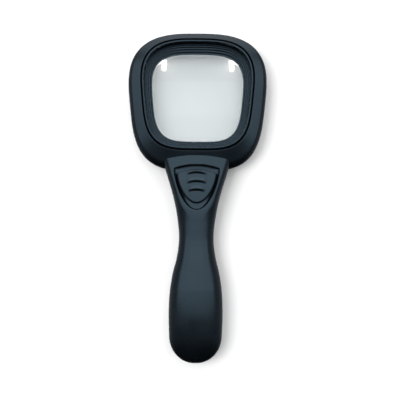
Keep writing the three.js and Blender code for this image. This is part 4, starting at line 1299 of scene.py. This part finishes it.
# Each look is a material and the name of its slot.
SATIN_BLACK = moulded("satin_black_plastic", (0.0016, 0.0022, 0.0028), (0.0028, 0.0036, 0.0044), 0.28, 0.35,
                      0.08), "satin_black"
BEZEL_BLACK = moulded("bezel_black_plastic", (0.0014, 0.0020, 0.0026), (0.0024, 0.0032, 0.0040), 0.27, 0.35,
                      0.05, dusty=0.06), "bezel_black"
INNER_BLACK = moulded("inner_black_plastic", (0.012, 0.012, 0.013), (0.018, 0.018, 0.019), 0.62, 0.4,
                      0.2), "inner_black"
NICKEL = plated("nickel_plate", (0.62, 0.6, 0.55), (0.5, 0.47, 0.42), 0.24), "nickel"
ZINC = plated("zinc_plate", (0.5, 0.51, 0.52), (0.36, 0.37, 0.4), 0.3), "zinc_steel"
SOLDER = plated("solder", (0.55, 0.56, 0.57), (0.4, 0.41, 0.42), 0.22), "nickel"
CELL_LEFT = cell_sleeve("left", [(-95.6, -84), (-82.8, -82)])
CELL_RIGHT = cell_sleeve("right", [(-57.4, -45.9), (-59.4, -58.6)])
BOARD_GREEN = solder_mask("board_green_mask"), "board_green"
RESISTOR_TAN = banded("resistor_lacquer", (0.55, 0.38, 0.2), (0.16, 0.05, 0.02), 0,
                      [(-2.0, -1.55), (-0.9, -0.45), (0.2, 0.65), (1.7, 2.1)], 0.3), "resistor_tan"
SWITCH_WHITE = glossy("switch_nylon", (0.6, 0.6, 0.55), (0.5, 0.49, 0.44), 0.42), "switch_housing"
RED = glossy("red_insulation_vinyl", (0.42, 0.02, 0.015), (0.3, 0.012, 0.01), 0.35), "red_insulation"
BLACK = glossy("black_insulation_vinyl", (0.012, 0.012, 0.012), (0.02, 0.02, 0.021), 0.35), "black_insulation"
LENS = clear("lens_acrylic", (0.955, 0.985, 0.985), 0.0, 1.49, (0.52, 0.55, 0.56)), "clear_acrylic"
EPOXY = clear("lamp_epoxy", (0.95, 0.965, 0.98), 0.03, 1.5, (0.85, 0.87, 0.9), glow=1.1), "clear_epoxy"


# -------- pieces on their bodies

def put(piece, body, look, *nodes):
    material, slot = look
    piece.data.materials.clear()
    piece.data.materials.append(material)
    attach(piece, body)
    if nodes:
        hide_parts(*nodes)


ROOT = "magnifier"
put(front_shell_with_posts(), ROOT, SATIN_BLACK, "head_front_shell")
put(rear_shell_with_posts(), ROOT, SATIN_BLACK, "head_rear_shell")
put(stepped_bezel(), ROOT, BEZEL_BLACK, "stepped_bezel")
put(lens(), ROOT, LENS, "lens")
put(handle_front_shell(), ROOT, SATIN_BLACK, "handle_front_shell")
put(handle_rear_shell(), ROOT, SATIN_BLACK, "handle_rear_shell")
put(battery_cover(), "cover", SATIN_BLACK, "battery_cover")
put(slide_button(), "switch_slider", SATIN_BLACK, "slide_button")

for node in LAMPS:
    lamp_body, lamp_leads = lamp(node)
    put(lamp_body, ROOT, EPOXY, node)
    put(lamp_leads, ROOT, NICKEL)
# Each wire: its sign, how far from the lamp's middle it starts, its height, where it ends, its look.
LAMP_WIRES = (("positive", -0.7, 9.2, 4.6, RED), ("negative", 0.8, 7.7, 6.8, BLACK))
for side, word in ((-1, "left"), (1, "right")):
    for sign, offset, z, end_x, look in LAMP_WIRES:
        wire = tube(f"lamp_lead_{word}_{sign}", lamp_wire(side, offset, z, end_x), 0.5)
        put(wire, ROOT, look, f"led_{word}_wire_{sign}")
for side, sign, look in ((1, "positive", RED), (-1, "negative", BLACK)):
    put(tube("cell_lead_" + sign, battery_wire(side), 0.6), ROOT, look, "battery_wire_" + sign)

put(switch_housing(), ROOT, SWITCH_WHITE, "switch_body")
put(switch_knob(), "switch_slider", INNER_BLACK, "switch_knob")
put(board(), ROOT, BOARD_GREEN, "circuit_board")
put(solder(), ROOT, SOLDER)
put(resistor(), ROOT, RESISTOR_TAN, "resistor")

for node, nub_side, sleeve in (("battery_left", -1, CELL_LEFT), ("battery_right", 1, CELL_RIGHT)):
    jacket, nub, base = cell(node, nub_side)
    put(jacket, ROOT, sleeve, node)
    put(nub, ROOT, NICKEL)
    put(base, ROOT, NICKEL)
for node in ("contact_negative", "contact_positive", "contact_bridge"):
    put(plate_with_tab(node), ROOT, NICKEL, node)
for node, x in (("spring_negative", -CELL_X), ("spring_bridge", CELL_X)):
    low, high = node_box(node)
    ends = sorted((low[1] + SPRING_WIRE, high[1] - SPRING_WIRE), reverse=x < 0)
    put(spring(node, x, *ends), ROOT, NICKEL, node)
put(tray(), ROOT, INNER_BLACK, "battery_tray")
for node in (*HEAD_SCREWS, "neck_screw", *TONGUE_SCREWS):
    put(screw(node), ROOT, ZINC, node)


# -------- floor and light

FLOOR_HALF = 1500


def add_floor():
    corners = [(x * FLOOR_HALF, y * FLOOR_HALF, 0) for x, y in ((-1, -1), (1, -1), (1, 1), (-1, 1))]
    floor = mesh_object("floor", corners, [[0, 1, 2, 3]])
    floor.location.z = -0.00005
    t = Tree("white_floor")
    t.set(Base_Color=t.mix(t.noise(8, 3), (0.86, 0.86, 0.86), (0.84, 0.84, 0.845)), Roughness=0.85)
    t.set(Specular_IOR_Level=0.1, Emission_Color=(1, 1, 1), Emission_Strength=0.05)
    floor.data.materials.append(t.material)
    floor.visible_glossy = False


def add_softbox(name, angles, distance, size, radiance, glossy=True):
    """A light that faces the object; angles are (towards +X, towards +Y) from straight up."""
    data = bpy.data.lights.new(name, "AREA")
    data.shape = "RECTANGLE"
    data.size, data.size_y = size
    data.energy = radiance * size[0] * size[1] * math.pi
    light = link(bpy.data.objects.new(name, data))
    x, y = (math.tan(math.radians(a)) for a in angles)
    towards = Vector((x, y, 1)).normalized()
    light.location = towards * distance
    light.rotation_mode = "QUATERNION"
    light.rotation_quaternion = towards.to_track_quat("Z", "Y")
    light.visible_camera = False
    light.visible_glossy = glossy
    light.visible_transmission = glossy


def add_world(radiance, reflected, seen):
    """Dim surroundings: paler in reflections except towards -Y, plain pale where looked at directly."""
    world = bpy.data.worlds.new("studio")
    world.use_nodes = True
    t = Nodes(world.node_tree)
    dim = t.tree.nodes["Background"]
    t.feed(dim.inputs["Color"], radiance)
    direction = t.node("ShaderNodeTexCoord").outputs["Generated"]
    towards_y = t.node("ShaderNodeSeparateXYZ", {"Vector": direction}).outputs["Y"]
    fade = {"Value": towards_y, "From Min": -0.75, "From Max": -0.25, "To Min": 0.03}
    fade = t.node("ShaderNodeMapRange", fade).outputs[0]
    mirrored_light = t.node("ShaderNodeBackground", {"Color": reflected, "Strength": fade}).outputs[0]
    pale = t.node("ShaderNodeBackground", {"Color": seen}).outputs[0]
    ray = t.node("ShaderNodeLightPath").outputs
    shader = t.mix_shaders(ray["Is Glossy Ray"], dim.outputs[0], mirrored_light)
    shader = t.mix_shaders(ray["Is Camera Ray"], shader, pale)
    t.feed(t.tree.nodes["World Output"].inputs["Surface"], shader)
    bpy.context.scene.world = world


add_floor()
add_softbox("overhead", (0, 21), 2.4, (12.0, 4.0), 1.25)
add_softbox("overhead_core", (0, 12), 2.2, (1.9, 0.6), 0.4)
add_softbox("behind", (0, 78), 2.6, (5.0, 3.6), 0.85)
add_softbox("left_fill", (-27, 6), 1.0, (0.5, 0.5), 7.5, glossy=False)
add_world((0.03, 0.032, 0.034), (0.22, 0.235, 0.25), (0.85, 0.86, 0.87))
bpy.context.scene.view_settings.view_transform = "Standard"
